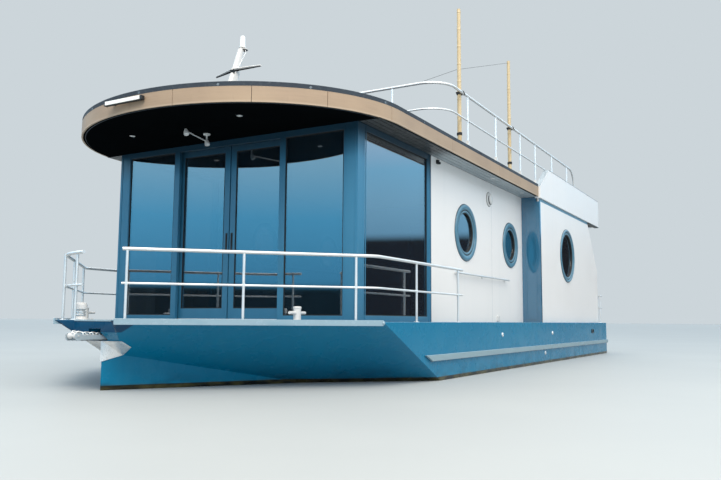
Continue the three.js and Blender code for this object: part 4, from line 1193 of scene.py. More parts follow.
def makePortholes():
    # a pressed outer flange, a step down with a seal, the clamp ring, a second seal and the pane
    p = portholes
    back, glassZ, fit = -p["wall"], -p["glassBack"], p["fit"]
    for row in p["rows"]:
        radius = row["radius"]
        opening = radius - row["ring"]
        step = opening + p["clamp"] + p["seal"]
        inner = step - p["seal"]
        hub = radius - p["hub"] - 0.0005
        rim = p["depth"]
        flange = [(radius, 0.0005), (radius, 0.008), (radius - 0.006, 0.018), (radius - 0.016, rim - 0.002),
                  (radius - 0.028, rim), (step + 0.012, rim - 0.004), (step + 0.004, rim - 0.009),
                  (step, 0.006), (inner, 0.004), (inner, 0.010), (inner - 0.006, 0.014),
                  (opening + 0.008, 0.010), (opening, 0.002), (opening, back), (hub, back), (hub, 0.0005)]
        reach = opening - 0.0006
        pane = [(0, glassZ), (reach, glassZ), (reach, glassZ - p["pane"]), (0, glassZ - p["pane"])]
        rubbers = [
            [(step - fit, 0.010), (inner + fit, 0.009), (inner + fit, 0.0042), (step - fit, 0.0062)],
            [(opening - fit, 0.001), (opening - 0.010, -0.004), (opening - 0.010, glassZ + 0.001),
             (opening - fit, glassZ + 0.001)],
            [(radius + 0.0005, 0.0005), (radius + 0.007, 0.0005), (radius + 0.006, 0.004),
             (radius + 0.0005, 0.004)]
        ]
        for sideName, side in sides.items():
            node = f"{row['name']}_{sideName}"
            centre = (row["x"], side * row["wallY"], p["z"])
            bm = bmesh.new()
            addLathe(bm, flange, centre, (0, side, 0), p["steps"], closed=True)
            finishPiece(bm, node + "_ring", "portholeCoating", [node], sharp=50)
            bm = bmesh.new()
            addLathe(bm, pane, centre, (0, side, 0), p["steps"])
            finishPiece(bm, node + "_pane", "solarGlass")
            bm = bmesh.new()
            for section in rubbers:
                addLathe(bm, section, centre, (0, side, 0), p["steps"], closed=True)
            finishPiece(bm, node + "_rubber", "sealRubber")


def dressWalls():
    for side in sides:
        dressNode(f"saloon_side_wall_{side}", "wallLacquer", 0.003)
        dressNode(f"cabin_side_wall_{side}", "wallLacquer", 0.004)
    dressNode("step_bulkhead", "bulkheadGloss", 0.003)
    dressNode("aft_wall", "wallLacquer", 0.003)


wallFittings = {
    "sensor": (2.360, 3.575), "hood": (0.160, 3.342), "outlet": (-0.217, 1.304), "wallY": 2.000,
    "hoodRadius": 0.120, "panelJoints": [0.040], "jointZ0": 1.250, "jointZ1": 3.630,
}


def makeWallFittings():
    w = wallFittings
    bm = bmesh.new()
    sensorX, sensorZ = w["sensor"]
    for side in sides.values():
        addSideBox(bm, side, (sensorX - 0.027, w["wallY"], sensorZ - 0.030),
                   (sensorX + 0.027, w["wallY"] + 0.035, sensorZ + 0.030))
        addSideBox(bm, side, (sensorX - 0.018, w["wallY"] + 0.030, sensorZ - 0.036),
                   (sensorX + 0.018, w["wallY"] + 0.060, sensorZ - 0.004))
    finishPiece(bm, "wall_sensors", "mouldedPlastic", bevel=0.004)
    bm = bmesh.new()
    hoodX, hoodZ = w["hood"]
    outletX, outletZ = w["outlet"]
    r = w["hoodRadius"]
    for side in sides.values():
        centre = (hoodX, side * (w["wallY"] + 0.0005), hoodZ)
        addLathe(
            bm,
            [(0, 0.0), (r, 0.0), (r, 0.010), (r * 0.93, 0.020), (r * 0.72, 0.026), (r * 0.70, 0.040),
             (r * 0.55, 0.052), (r * 0.25, 0.058), (0, 0.060)],
            centre, (0, side, 0), 40
        )
        addSideBox(bm, side, (outletX - 0.045, w["wallY"] + 0.0005, outletZ - 0.045),
                   (outletX + 0.045, w["wallY"] + 0.030, outletZ + 0.045))
    finishPiece(bm, "wall_vents", "whitePowderCoat", bevel=0.003)
    bm = bmesh.new()
    for side in sides.values():
        # painted shade: a dark tube stands for the shadow in the open slot under the vent's cap
        arc = [math.radians(a) for a in range(150, 391, 12)]
        slot = [
            (hoodX + r * 0.73 * math.cos(a), side * (w["wallY"] + 0.031), hoodZ + r * 0.73 * math.sin(a))
            for a in arc
        ]
        addPipes(bm, [(slot, 0.0075)], 8)
        addLathe(bm, [(r + 0.0005, 0.0005), (r + 0.007, 0.0005), (r + 0.007, 0.004), (r + 0.0005, 0.004)],
                 (hoodX, side * w["wallY"], hoodZ), (0, side, 0), 40, closed=True)
    finishPiece(bm, "wall_vent_slots", "mouldedPlastic")
    bm = bmesh.new()
    for side in sides.values():
        for x in w["panelJoints"]:
            addSideBox(bm, side, (x - 0.0025, w["wallY"] - 0.002, w["jointZ0"]),
                       (x + 0.0025, w["wallY"] + 0.0006, w["jointZ1"]))
    finishPiece(bm, "wall_panel_joints", "zincGrey")


bulkheadPanel = {"x": -1.665, "y0": 2.070, "y1": 2.290, "z0": 1.300, "z1": 3.470, "thickness": 0.006}


def makeBulkheadPanels():
    # framed lighter panel on each forward-facing strip of the step
    b = bulkheadPanel
    bm = bmesh.new()
    for side in sides.values():
        near, far = sorted((side * b["y0"], side * b["y1"]))
        outer = (near, b["z0"], far, b["z1"])
        inner = (near + 0.020, b["z0"] + 0.020, far - 0.020, b["z1"] - 0.020)
        addFrame(bm, outer, inner, b["x"], b["x"] + b["thickness"], "x")
    finishPiece(bm, "step_panel_frames", "bulkheadGloss", bevel=0.002)


makePortholes()
dressWalls()
makeWallFittings()
makeBulkheadPanels()
print("walls done")


# Roof

roof = {
    "halfWidth": 2.350, "arcX": 4.240, "reach": 2.020, "fasciaAftX": -1.630, "fascia": 0.040,
    "soffitZ": 3.640, "fasciaTopZ": 3.812, "topZ": 3.875,
}


def roofOutline(aftX, inset, arcSteps=72):
    # straight sides and a half ellipse in front, moved inboard
    half = roof["halfWidth"] - inset
    reach = roof["reach"] - inset
    angles = [math.pi * (k / arcSteps - 0.5) for k in range(arcSteps + 1)]
    arc = [(roof["arcX"] + reach * math.cos(a), half * math.sin(a)) for a in angles]
    return [(aftX, -half), *arc, (aftX, half)]


def outlineStations(inset, spacing):
    # evenly spaced points round the outline from the starboard end to the port end
    points = [Vector(p) for p in roofOutline(roof["fasciaAftX"], inset, 720)]
    travelled = [0.0]
    for first, second in zip(points, points[1:]):
        travelled.append(travelled[-1] + (second - first).length)
    count = max(1, round(travelled[-1] / spacing))
    stations = []
    k = 0
    for j in range(count + 1):
        goal = travelled[-1] * j / count
        while k < len(points) - 2 and travelled[k + 1] < goal:
            k += 1
        share = (goal - travelled[k]) / (travelled[k + 1] - travelled[k])
        stations.append(points[k].lerp(points[k + 1], min(share, 1.0)))
    return stations


fasciaBoards = {"proud": 0.003, "thickness": 0.018, "gap": 0.005, "z0": 3.6405, "z1": 3.8200, "step": 0.045,
                "jointAngles": [-84.0, -57.4, -31.0, -3.6, 11.9, 35.0, 57.4, 84.0],
                "sideJoints": [2.600, 0.600, -0.500]}


def makeFascia():
    # boards bent round the roof edge with a narrow open joint between them, over a dark backing
    f = fasciaBoards
    points = [Vector(p) for p in roofOutline(roof["fasciaAftX"], -f["proud"], 720)]
    edge = [Vector(p) for p in roofOutline(roof["fasciaAftX"], -0.0005, 720)]
    inner = [Vector(p) for p in roofOutline(roof["fasciaAftX"], f["thickness"], 720)]
    backing = [Vector(p) for p in roofOutline(roof["fasciaAftX"], roof["fascia"], 720)]
    joints = [
        (roof["arcX"] + roof["reach"] * math.cos(math.radians(a)),
         roof["halfWidth"] * math.sin(math.radians(a)))
        for a in f["jointAngles"]
    ]
    joints += [(x, side * roof["halfWidth"]) for x in f["sideJoints"] for side in sides.values()]
    travelled = [0.0]
    for first, second in zip(points, points[1:]):
        travelled.append(travelled[-1] + (second - first).length)

    def reachOf(spot):
        nearest = []
        for k, (first, second) in enumerate(zip(points, points[1:])):
            share = max(0.0, min(1.0, (spot - first).dot(second - first) / (second - first).length_squared))
            nearest.append(
                ((first.lerp(second, share) - spot).length,
                 travelled[k] + share * (travelled[k + 1] - travelled[k]))
            )
        return min(nearest)[1]

    def at(line, goal):
        k = max(j for j in range(len(points) - 1) if travelled[j] <= goal + 1e-9)
        share = (goal - travelled[k]) / (travelled[k + 1] - travelled[k])
        return line[k].lerp(line[k + 1], share)

    stops = sorted([0.0, travelled[-1], *[reachOf(Vector(joint)) for joint in joints]])
    bm = bmesh.new()
    for first, last in zip(stops, stops[1:]):
        start = first + (f["gap"] / 2 if first > 0 else 0)
        end = last - (f["gap"] / 2 if last < travelled[-1] else 0)
        count = max(2, math.ceil((end - start) / f["step"]))
        goals = [start + (end - start) * k / count for k in range(count + 1)]
        for back, low, high in (
            (inner, f["z0"], roof["fasciaTopZ"] - 0.0005), (edge, roof["fasciaTopZ"] - 0.0005, f["z1"])
        ):
            outline = [at(points, g) for g in goals] + [at(back, g) for g in reversed(goals)]
            addPrism(bm, outline, low, high)
    finishPiece(bm, "fascia_boards", "claddingBoard", ["roof_fascia"], bevel=0.0025)
    bm = bmesh.new()
    count = math.ceil(travelled[-1] / f["step"])
    goals = [travelled[-1] * k / count for k in range(count + 1)]
    outline = [at(inner, g) for g in goals] + [at(backing, g) for g in reversed(goals)]
    addPrism(bm, outline, f["z0"] + 0.002, roof["fasciaTopZ"] - 0.002)
    finishPiece(bm, "fascia_backing", "soffitLaminate")


edgeClip = {"spacing": 1.05, "halfWidth": 0.014, "height": 0.026, "thickness": 0.003, "standOff": 0.003,
            "z": 3.842}


def makeRoofEdge():
    # the membrane, a rolled lip round its edge, and small clamps that hold it
    dressNode("roof", "roofMembrane", 0.008)
    bm = bmesh.new()
    lip = [(p.x, p.y, roof["topZ"] - 0.008) for p in outlineStations(0.012, 0.05)]
    addPipes(bm, [(lip, 0.012)], 10)
    finishPiece(bm, "membrane_lip", "roofMembrane")
    item = bmesh.new()
    c = edgeClip
    addBox(item, (-c["halfWidth"], -c["height"] / 2, 0), (c["halfWidth"], c["height"] / 2, c["thickness"]))
    itemMesh = bpy.data.meshes.new("clip")
    item.to_mesh(itemMesh)
    item.free()
    stations = outlineStations(0.0, c["spacing"])
    places = []
    for before, here, after in zip(stations, stations[1:], stations[2:]):
        along = (after - before).normalized()
        place = (here.x - c["standOff"] * along.y, here.y + c["standOff"] * along.x, c["z"])
        places.append((place, (along.y, -along.x, 0)))
    bm = bmesh.new()
    addCopies(bm, itemMesh, places)
    finishPiece(bm, "membrane_clamps", "castAlloy", bevel=0.001)


soffit = {"thickness": 0.003, "frontX": 4.672, "margin": 0.012, "boardYs": [2.010, 2.090, 2.170, 2.250],
          "boardWidth": 0.072, "boardDrop": 0.003, "boardX0": -1.660, "boardX1": 4.660}


def makeSoffits():
    low = roof["soffitZ"] - soffit["thickness"]
    high = roof["soffitZ"] - 0.0002
    inset = roof["fascia"] + soffit["margin"]
    outline = roofOutline(soffit["frontX"], inset)
    bm = bmesh.new()
    addPrism(bm, outline, low, high)
    finishPiece(bm, "front_soffit", "soffitLaminate", bevel=0.001)
    bm = bmesh.new()
    for side in sides.values():
        for y in soffit["boardYs"]:
            edge = min(y + soffit["boardWidth"], roof["halfWidth"] - inset)
            addSideBox(bm, side, (soffit["boardX0"], y, low - soffit["boardDrop"]),
                       (soffit["boardX1"], edge, high))
    finishPiece(bm, "side_soffit_boards", "soffitBoard", bevel=0.002)


soffitLamps = {"front": [(5.419, -0.983), (5.523, 0.883)], "side": [(0.490, 2.190), (-1.100, 2.190)],
               "radius": 0.031}


def makeSoffitLamps():
    r = soffitLamps["radius"]
    rim = latheMesh([(r * 0.72, 0.0), (r * 0.72, 0.003), (r, 0.005), (r + 0.006, 0.002), (r + 0.006, 0.0)],
                    28)
    lens = latheMesh([(0, 0.003), (r * 0.5, 0.0028), (r * 0.74, 0.001), (r * 0.74, 0.0), (0, 0.0)], 28)
    base = roof["soffitZ"] - soffit["thickness"]
    places = [((x, y, base), (0, 0, -1)) for x, y in soffitLamps["front"]]
    boards = base - soffit["boardDrop"]
    places += [((x, side * y, boards), (0, 0, -1)) for x, y in soffitLamps["side"]
               for side in sides.values()]
    bm = bmesh.new()
    addCopies(bm, rim, places)
    finishPiece(bm, "soffit_lamp_rims", "polishedTube")
    bm = bmesh.new()
    addCopies(bm, lens, places)
    finishPiece(bm, "soffit_lamp_lenses", "frostedLens")


spotBar = {"stem": (5.052, -0.034), "end": (5.590, 0.110), "dropZ": 0.105, "aim": (0.25, 0.45, -1.0)}


def makeSpotBar():
    # a bar to one side of its stem, with a spot at each end
    s = spotBar
    top = roof["soffitZ"]
    z = top - s["dropZ"]
    bm = bmesh.new()
    cx, cy = s["stem"]
    addLathe(
        bm,
        [(0, 0.004), (0.045, 0.004), (0.045, 0.016), (0.038, 0.024), (0.016, 0.028), (0.012, 0.040),
         (0, 0.040)],
        (cx, cy, top), (0, 0, -1), 32
    )
    bar = ([(*s["stem"], z), (*s["end"], z)], 0.008)
    addPipes(bm, [bar, ([(cx, cy, top - 0.010), (cx, cy, z)], 0.010)])
    for place in (s["end"], s["stem"]):
        addLathe(
            bm,
            [(0, -0.010), (0.016, -0.010), (0.020, 0.0), (0.026, 0.018), (0.032, 0.044), (0.032, 0.068),
             (0.028, 0.068), (0.027, 0.058), (0, 0.056)],
            (*place, z + 0.012), Vector(s["aim"]).normalized(), 28
        )
    finishPiece(bm, "spot_bar", "whitePowderCoat", ["soffit_spots"])


flood = {"x": 6.275, "depth": 0.055, "y0": -0.500, "y1": 0.110, "z0": 3.732, "z1": 3.790,
         "stayYs": [-0.400, 0.010], "fins": 9}


def makeFlood():
    f = flood
    bm = bmesh.new()
    front = f["x"] + f["depth"]
    body = [(f["x"], f["z0"] + 0.014), (f["x"] + 0.012, f["z0"]), (front - 0.006, f["z0"] + 0.004),
            (front - 0.006, f["z1"] - 0.004), (f["x"] + 0.012, f["z1"]), (f["x"], f["z1"] - 0.014)]
    addPrism(bm, body, f["y0"] + 0.022, f["y1"] - 0.022, "y")
    for k in range(f["fins"]):
        y = f["y0"] + 0.05 + k * (f["y1"] - f["y0"] - 0.1) / (f["fins"] - 1)
        addBox(bm, (f["x"] - 0.010, y - 0.002, f["z0"] + 0.014),
               (f["x"] + 0.002, y + 0.002, f["z1"] - 0.014))
    for y in f["stayYs"]:
        reach = roof["arcX"] + roof["reach"] * math.sqrt(1 - (y / roof["halfWidth"]) ** 2)
        addBox(bm, (reach + 0.001, y - 0.020, f["z0"] + 0.020),
               (f["x"] + 0.006, y + 0.020, f["z0"] + 0.050))
    finishPiece(bm, "flood_housing", "mouldedPlastic", ["flood_light"], bevel=0.003)
    bm = bmesh.new()
    for y0, y1 in ((f["y0"], f["y0"] + 0.022), (f["y1"] - 0.022, f["y1"])):
        addBox(bm, (f["x"] - 0.004, y0, f["z0"] + 0.002), (front - 0.004, y1, f["z1"] - 0.002))
    finishPiece(bm, "flood_end_caps", "mouldedPlastic", bevel=0.006)
    bm = bmesh.new()
    addBox(bm, (front - 0.007, f["y0"] + 0.026, f["z0"] + 0.007),
           (front + 0.002, f["y1"] - 0.026, f["z1"] - 0.006))
    finishPiece(bm, "flood_lens", "frostedLens", bevel=0.003)


parapet = {"outerY": 2.385, "innerY": 2.2794, "topZ": 4.250, "bottomZ": 3.610, "slopeX": -2.250,
           "frontTopZ": 3.830, "frontX": -1.6303, "aftX": -6.730, "cap": 0.006, "slopeSkin": 0.003}
# strip under the parapet's foot, a trim band whose blue-grey is partly painted shade, and a dark board of
# painted shade that closes it from below behind the wall
eave = {"x0": -5.640, "x1": -1.690, "y0": 2.340, "y1": 2.3525, "z0": 3.552, "z1": 3.612}
shadeBoard = {"x1": -5.660, "y0": 2.286, "y1": 2.383, "thickness": 0.016}


def makeParapet():
    dressNode("roof_parapet", "wallLacquer", 0.004)
    p = parapet
    t = p["cap"]
    capBm, slopeBm, eaveBm, shadeBm = (bmesh.new() for part in range(4))
    capLow, capHigh = p["topZ"] + 0.0005, p["topZ"] + t
    cap = [(p["slopeX"], capLow), (p["slopeX"], capHigh), (p["aftX"], capHigh), (p["aftX"], capLow)]
    head = Vector((p["slopeX"], p["topZ"]))
    foot = Vector((p["frontX"], p["frontTopZ"]))
    run = (foot - head).normalized()
    up = Vector((-run.y, run.x)) * p["slopeSkin"]
    slope = [tuple(head), tuple(foot), tuple(foot + up), tuple(head + up)]
    e, d = eave, shadeBoard
    strip = [(e["x0"], e["z0"]), (e["x1"], e["z0"]), (e["x1"], e["z1"]), (e["x0"], e["z1"])]
    for side in sides.values():
        addSidePrism(capBm, cap, side, p["innerY"] - 0.004, p["outerY"] + 0.004)
        addSidePrism(slopeBm, slope, side, p["innerY"] + 0.002, p["outerY"] - 0.002)
        addSidePrism(eaveBm, strip, side, e["y0"], e["y1"])
        addSideBox(shadeBm, side, (p["aftX"] + 0.010, d["y0"], p["bottomZ"] - d["thickness"]),
                   (d["x1"], d["y1"], p["bottomZ"] - 0.0005))
    finishPiece(capBm, "parapet_capping", "zincGrey", bevel=0.0015)
    finishPiece(slopeBm, "parapet_grey_faces", "zincGrey")
    # painted shade: the eave strips' blue-grey in part, and the dark boards under the aft overhang
    finishPiece(eaveBm, "parapet_eave_strips", "portholeCoating")
    finishPiece(shadeBm, "parapet_drip_boards", "mouldedPlastic")


seams = {"count": 12, "x0": -5.900, "spacing": 1.000, "width": 0.050, "thickness": 0.003}
walkway = {"thickness": 0.0045, "matLength": 0.900, "gap": 0.030, "x0": -6.400, "x1": 2.500,
           "halfWidth": 0.450}


def makeRoofSeams():
    # welded overlaps of the membrane and the non-slip mats of the walkway down the middle
    z = roof["topZ"]
    bm = bmesh.new()
    for k in range(seams["count"]):
        x = seams["x0"] + k * seams["spacing"]
        half = roof["halfWidth"] - 0.10 if x > roof["fasciaAftX"] else parapet["innerY"] - 0.03
        if x > roof["arcX"]:
            half = half * math.sqrt(max(0.05, 1 - ((x - roof["arcX"]) / (roof["reach"] - 0.1)) ** 2))
        addBox(bm, (x, -half, z + 0.0002), (x + seams["width"], half, z + seams["thickness"]))
    finishPiece(bm, "membrane_seams", "roofMembrane", bevel=0.001)
    bm = bmesh.new()
    x = walkway["x0"]
    while x + walkway["matLength"] < walkway["x1"]:
        addBox(bm, (x, -walkway["halfWidth"], z + 0.0002),
               (x + walkway["matLength"], walkway["halfWidth"], z + walkway["thickness"]))
        x += walkway["matLength"] + walkway["gap"]
    finishPiece(bm, "walkway_mats", "antiSlipPaint", bevel=0.002)


makeFascia()
makeRoofEdge()
makeSoffits()
makeSoffitLamps()
makeSpotBar()
makeFlood()
makeParapet()
makeRoofSeams()
print("roof done")


# Roof rail, poles and mast

roofRail = {"crossX": 2.820, "bend": 0.380, "dropX": -4.560, "midAftX": -2.220, "topZ": 4.640,
            "midZ": 4.260, "y": 2.318, "radius": 0.019, "midRadius": 0.0125, "postRadius": 0.013,
            "posts": [1.920, 0.670, -0.630, -1.560], "parapetPosts": [-2.730, -3.930],
            "crossPosts": [-1.500, -0.500, 0.500, 1.500]}


def makeRoofRail():
    r = roofRail
    floor = roof["topZ"] + 0.0005
    bm = bmesh.new()
    runs = []
    top = [(r["dropX"], -r["y"], parapet["topZ"] + 0.001), (r["dropX"], -r["y"], r["topZ"]),
           (r["crossX"], -r["y"], r["topZ"]), (r["crossX"], r["y"], r["topZ"]),
           (r["dropX"], r["y"], r["topZ"]), (r["dropX"], r["y"], parapet["topZ"] + 0.001)]
    mid = [(r["midAftX"], -r["y"], r["midZ"]), (r["crossX"], -r["y"], r["midZ"]),
           (r["crossX"], r["y"], r["midZ"]), (r["midAftX"], r["y"], r["midZ"])]
    runs += [(top, r["radius"], r["bend"]), (mid, r["midRadius"], r["bend"])]
    feet = [(r["crossX"], y) for y in r["crossPosts"]]
    feet += [(x, side * r["y"]) for x in r["posts"] for side in sides.values()]
    for x, y in feet:
        runs.append(([(x, y, floor), (x, y, r["topZ"])], r["postRadius"]))
        runs.append(([(x, y, r["midZ"] - 0.020), (x, y, r["midZ"] + 0.020)], 0.018))
    stubs = [(x, side * r["y"]) for x in r["parapetPosts"] for side in sides.values()]
    for x, y in stubs:
        runs.append(([(x, y, parapet["topZ"] + 0.007), (x, y, r["topZ"])], r["postRadius"]))
    addPipes(bm, runs)
    ends = [(r["dropX"], side * r["y"]) for side in sides.values()]
    capZ = parapet["topZ"] + parapet["cap"]
    addCopies(bm, railFlange, [((x, y, capZ), (0, 0, 1)) for x, y in stubs + ends])
    finishPiece(bm, "roof_rail_tube", "polishedTube",
                ["roof_rail_port", "roof_rail_starboard", "roof_rail_cross"])
    bm = bmesh.new()
    for x, y in feet:
        half = 0.030 if abs(y) > 2 else 0.045
        addBox(bm, (x - 0.055, y - half, floor), (x + 0.055, y + half, floor + 0.012))
        addBox(bm, (x - 0.022, y - 0.022, floor + 0.010), (x + 0.022, y + 0.022, floor + 0.075))
    bolts = [((x + a * 0.042, y + b * 0.020, floor + 0.012), (0, 0, 1)) for x, y in feet for a in (-1, 1)
             for b in (-1, 1)]
    addCopies(bm, screwHead, bolts)
    finishPiece(bm, "roof_rail_feet", "whitePowderCoat", bevel=0.003)


poles = {"rows": [("bamboo_pole_fore", 2.110, 5.950), ("bamboo_pole_aft", -0.210, 5.870)], "y": 2.261,
         "radius": 0.033, "joint": 0.270, "swelling": 0.11, "ringWidth": 0.016, "taper": 0.16,
         "step": 0.008, "lashings": [4.020, 4.640], "turns": 6.0, "cord": 0.004, "windingHeight": 0.040}


def makePoles():
    p = poles
    for name, x, topZ in p["rows"]:
        bm = bmesh.new()
        stem = [(x, p["y"], roof["topZ"] + 0.001), (x, p["y"], topZ)]
        bm.from_mesh(runTree(culmTree, skeletonMesh([(stem, 0)]), {
            "Radius": p["radius"], "Joint Spacing": p["joint"], "Swelling": p["swelling"],
            "Ring Width": p["ringWidth"], "Taper": p["taper"], "Step": p["step"],
        }))
        finishPiece(bm, f"{name}_culm", "bambooCulm", [name], sharp=60)
        bm = bmesh.new()
        windings = bpy.data.meshes.new("windings")
        windings.from_pydata([(x, p["y"], z - p["windingHeight"] / 2) for z in p["lashings"]], [], [])
        bm.from_mesh(
            runTree(
                lashingTree, windings,
                {"Turns": p["turns"], "Radius": p["radius"] + p["cord"], "Cord": p["cord"],
                 "Height": p["windingHeight"]}
            )
        )
        # the turns that tie the pole to the rail or its post
        z = p["lashings"][1]
        reach = roofRail["y"] + 0.024
        for k in range(3):
            loop = [(x - 0.040 + 0.012 * k, p["y"] - 0.042, z - 0.016 + 0.010 * k),
                    (x + 0.040 - 0.012 * k, p["y"] - 0.042, z + 0.012),
                    (x + 0.044 - 0.010 * k, reach, z + 0.020 - 0.008 * k),
                    (x - 0.044 + 0.010 * k, reach, z - 0.020 + 0.008 * k)]
            addPipes(bm, [(loop, p["cord"], 0.018, True)], 6, 4)
        finishPiece(bm, f"{name}_lashing", "blackCord", sharp=60)


stay = {"from": (-0.210, 2.261, 5.840), "tie": (2.110, 2.224, 5.015), "to": (2.815, 1.940, 4.655),
        "radius": 0.0025}


def makeStay():
    # a thin line drawn taut from the aft pole's head round the fore pole to the rail across the front
    bm = bmesh.new()
    addPipes(bm, [([stay["from"], stay["tie"], stay["to"]], stay["radius"])], 6)
    finishPiece(bm, "pole_stay", "blackCord", sharp=60)


mast = {
    "x": 4.740, "hingeZ": 3.985, "topZ": 4.960, "rake": 0.30, "treeZ": 4.610, "armOut": 0.384, "tipX": 4.518,
    "tipChord": 0.045, "frontX": 4.636, "lampX": 4.420, "lampZ": 5.153, "lampRadius": 0.040, "lean": 0.05,
    # height, half depth and half width of the fin
    "sections": [(3.946, 0.048, 0.048), (4.020, 0.068, 0.049), (4.150, 0.094, 0.049), (4.420, 0.088, 0.044),
                 (4.600, 0.070, 0.038), (4.800, 0.054, 0.033), (4.958, 0.044, 0.031)],
}


def mastX(z):
    return mast["x"] - (z - mast["hingeZ"]) * mast["rake"]


def ovalRing(bm, centre, halfX, halfY, z, steps, roundness):
    # a rounded rectangle in plan
    spots = []
    for k in range(steps):
        a = 2 * math.pi * k / steps
        u = math.copysign(abs(math.cos(a)) ** roundness, math.cos(a)) * halfX
        v = math.copysign(abs(math.sin(a)) ** roundness, math.sin(a)) * halfY
        spots.append(bm.verts.new((centre[0] + u, centre[1] + v, z)))
    return spots


def addLoft(bm, rings):
    # a closed skin over rings of the same number of corners
    bm.faces.new(rings[0])
    bm.faces.new(rings[-1])
    count = len(rings[0])
    for lower, upper in zip(rings, rings[1:]):
        for k in range(count):
            n = (k + 1) % count
            bm.faces.new((lower[k], lower[n], upper[n], upper[k]))


def lampPlate(x, reach):
    # plan of the chevron platform under the lamp
    return [(x + reach, 0.0), (x + 0.012, reach), (x - 0.040, reach), (x - 0.056, 0.0), (x - 0.040, -reach),
            (x + 0.012, -reach)]


def makeMast():
    # a raked fin with swept arms, a chevron platform and the lamp
    m = mast
    bm = bmesh.new()
    addLoft(bm, [ovalRing(bm, (mastX(z), 0), depth, half, z, 28, 0.7) for z, depth, half in m["sections"]])
    z = m["treeZ"]
    # the line under each arm, where a dark strip of painted shade runs
    shadeStrips = []
    for side in sides.values():
        stations = []
        shadeStrip = []
        shadeStrips.append(shadeStrip)
        for share in (0.0, 0.35, 0.7, 1.0):
            y = side * (0.012 + share * (m["armOut"] - 0.012))
            rise = y * m["lean"]
            front = m["frontX"] + share * (m["tipX"] - m["frontX"])
            chord = 0.095 + share * (m["tipChord"] - 0.095)
            top = z + rise + 0.030
            under = top - 0.034 + 0.014 * share
            shadeStrip.append(Vector((front - 0.45 * chord, y, under - 0.001)))
            stations.append(
                [
                    bm.verts.new((x, y, w))
                    for x, w in ((front, (top + under) / 2), (front - 0.25 * chord, top),
                                 (front - 0.7 * chord, top - 0.003),
                                 (front - chord, (top + under) / 2 - 0.002), (front - 0.6 * chord, under),
                                 (front - 0.2 * chord, under))
                ]
            )
        addLoft(bm, stations)
    top = m["topZ"]
    x = m["lampX"]
    for low, reach in ((top - 0.003, 0.066), (top + 0.012, 0.058)):
        addPrism(bm, lampPlate(x, reach), low, low + 0.007)
    finishPiece(bm, "mast_fin", "whitePowderCoat", ["nav_mast"], bevel=0.002, body="mast")
    bm = bmesh.new()
    r = m["lampRadius"]
    tall = m["lampZ"] - top
    addLathe(
        bm,
        [(0, 0.026), (r, 0.026), (r, 0.048), (r - 0.004, 0.052), (r - 0.008, tall - 0.022),
         (r - 0.012, tall - 0.008), (r - 0.020, tall), (0, tall)],
        (x, 0, top), steps=32
    )
    finishPiece(bm, "mast_lamp", "frostedLens", body="mast")
    bm = bmesh.new()
    # a dark seal at the lamp's foot; painted shade: the dark plate under the platform, the dark strip under
    # each arm in the shape of a cable cover, and the dark gusset in the fork
    addLathe(bm, [(0, 0.018), (r + 0.007, 0.018), (r + 0.007, 0.027), (0, 0.027)], (x, 0, top), steps=32)
    addPrism(bm, lampPlate(x, 0.064), top - 0.012, top - 0.0035)
    for shadeStrip in shadeStrips:
        rings = []
        for k, spot in enumerate(shadeStrip):
            half = 0.026 - 0.005 * k
            drop = 0.012 - 0.002 * k
            rings.append(
                [bm.verts.new((spot.x + u, spot.y, spot.z + w))
                 for u, w in ((half, 0), (0, -drop), (-half, 0))]
            )
        addLoft(bm, rings)
    shadeGusset = [(m["frontX"] + 0.010, z - 0.002), (m["frontX"] - 0.01, z - 0.075),
              (m["frontX"] - 0.075, z - 0.002)]
    addPrism(bm, shadeGusset, -0.016, 0.034, "y")
    finishPiece(bm, "mast_dark_parts", "mouldedPlastic", body="mast")
    bm = bmesh.new()
    addLathe(bm, [(0, -0.082), (0.010, -0.082), (0.010, 0.082), (0, 0.082)], (m["x"], 0, m["hingeZ"]),
             (0, 1, 0), 16)
    wire = [(x + 0.004, 0.058, top + 0.002), (x + 0.006, 0.060, top - 0.060),
            (mastX(z) + 0.030, 0.052, z + 0.022)]
    addPipes(bm, [(wire, 0.003, 0.05)], 6)
    finishPiece(bm, "mast_pin_and_wire", "polishedTube", body="mast")


def makeMastFoot():
    m = mast
    bm = bmesh.new()
    z = roof["topZ"]
    addBox(bm, (m["x"] - 0.130, -0.110, z + 0.0005), (m["x"] + 0.130, 0.110, z + 0.014))
    for side in sides.values():
        cheek = [(m["x"] - 0.060, z + 0.010), (m["x"] + 0.060, z + 0.010),
                 (m["x"] + 0.045, m["hingeZ"] + 0.015), (m["x"] + 0.020, m["hingeZ"] + 0.045),
                 (m["x"] - 0.020, m["hingeZ"] + 0.045), (m["x"] - 0.045, m["hingeZ"] + 0.015)]
        addSidePrism(bm, cheek, side, 0.056, 0.072)
    corners = [((m["x"] + a * 0.105, b * 0.092, z + 0.014), (0, 0, 1)) for a in (-1, 1) for b in (-1, 1)]
    addCopies(bm, screwHead, corners)
    finishPiece(bm, "mast_foot_cheeks", "whitePowderCoat", ["mast_foot"], bevel=0.002)


makeRoofRail()
makePoles()
makeStay()
makeMast()
makeMastFoot()
print("roof rail, poles and mast done")


# Stern

sternRail = {"x": -6.830, "y0": 1.720, "y1": 2.400, "topZ": 1.900, "midZ": 1.600, "wingX": -6.570,
             "radius": 0.016, "midRadius": 0.0125}


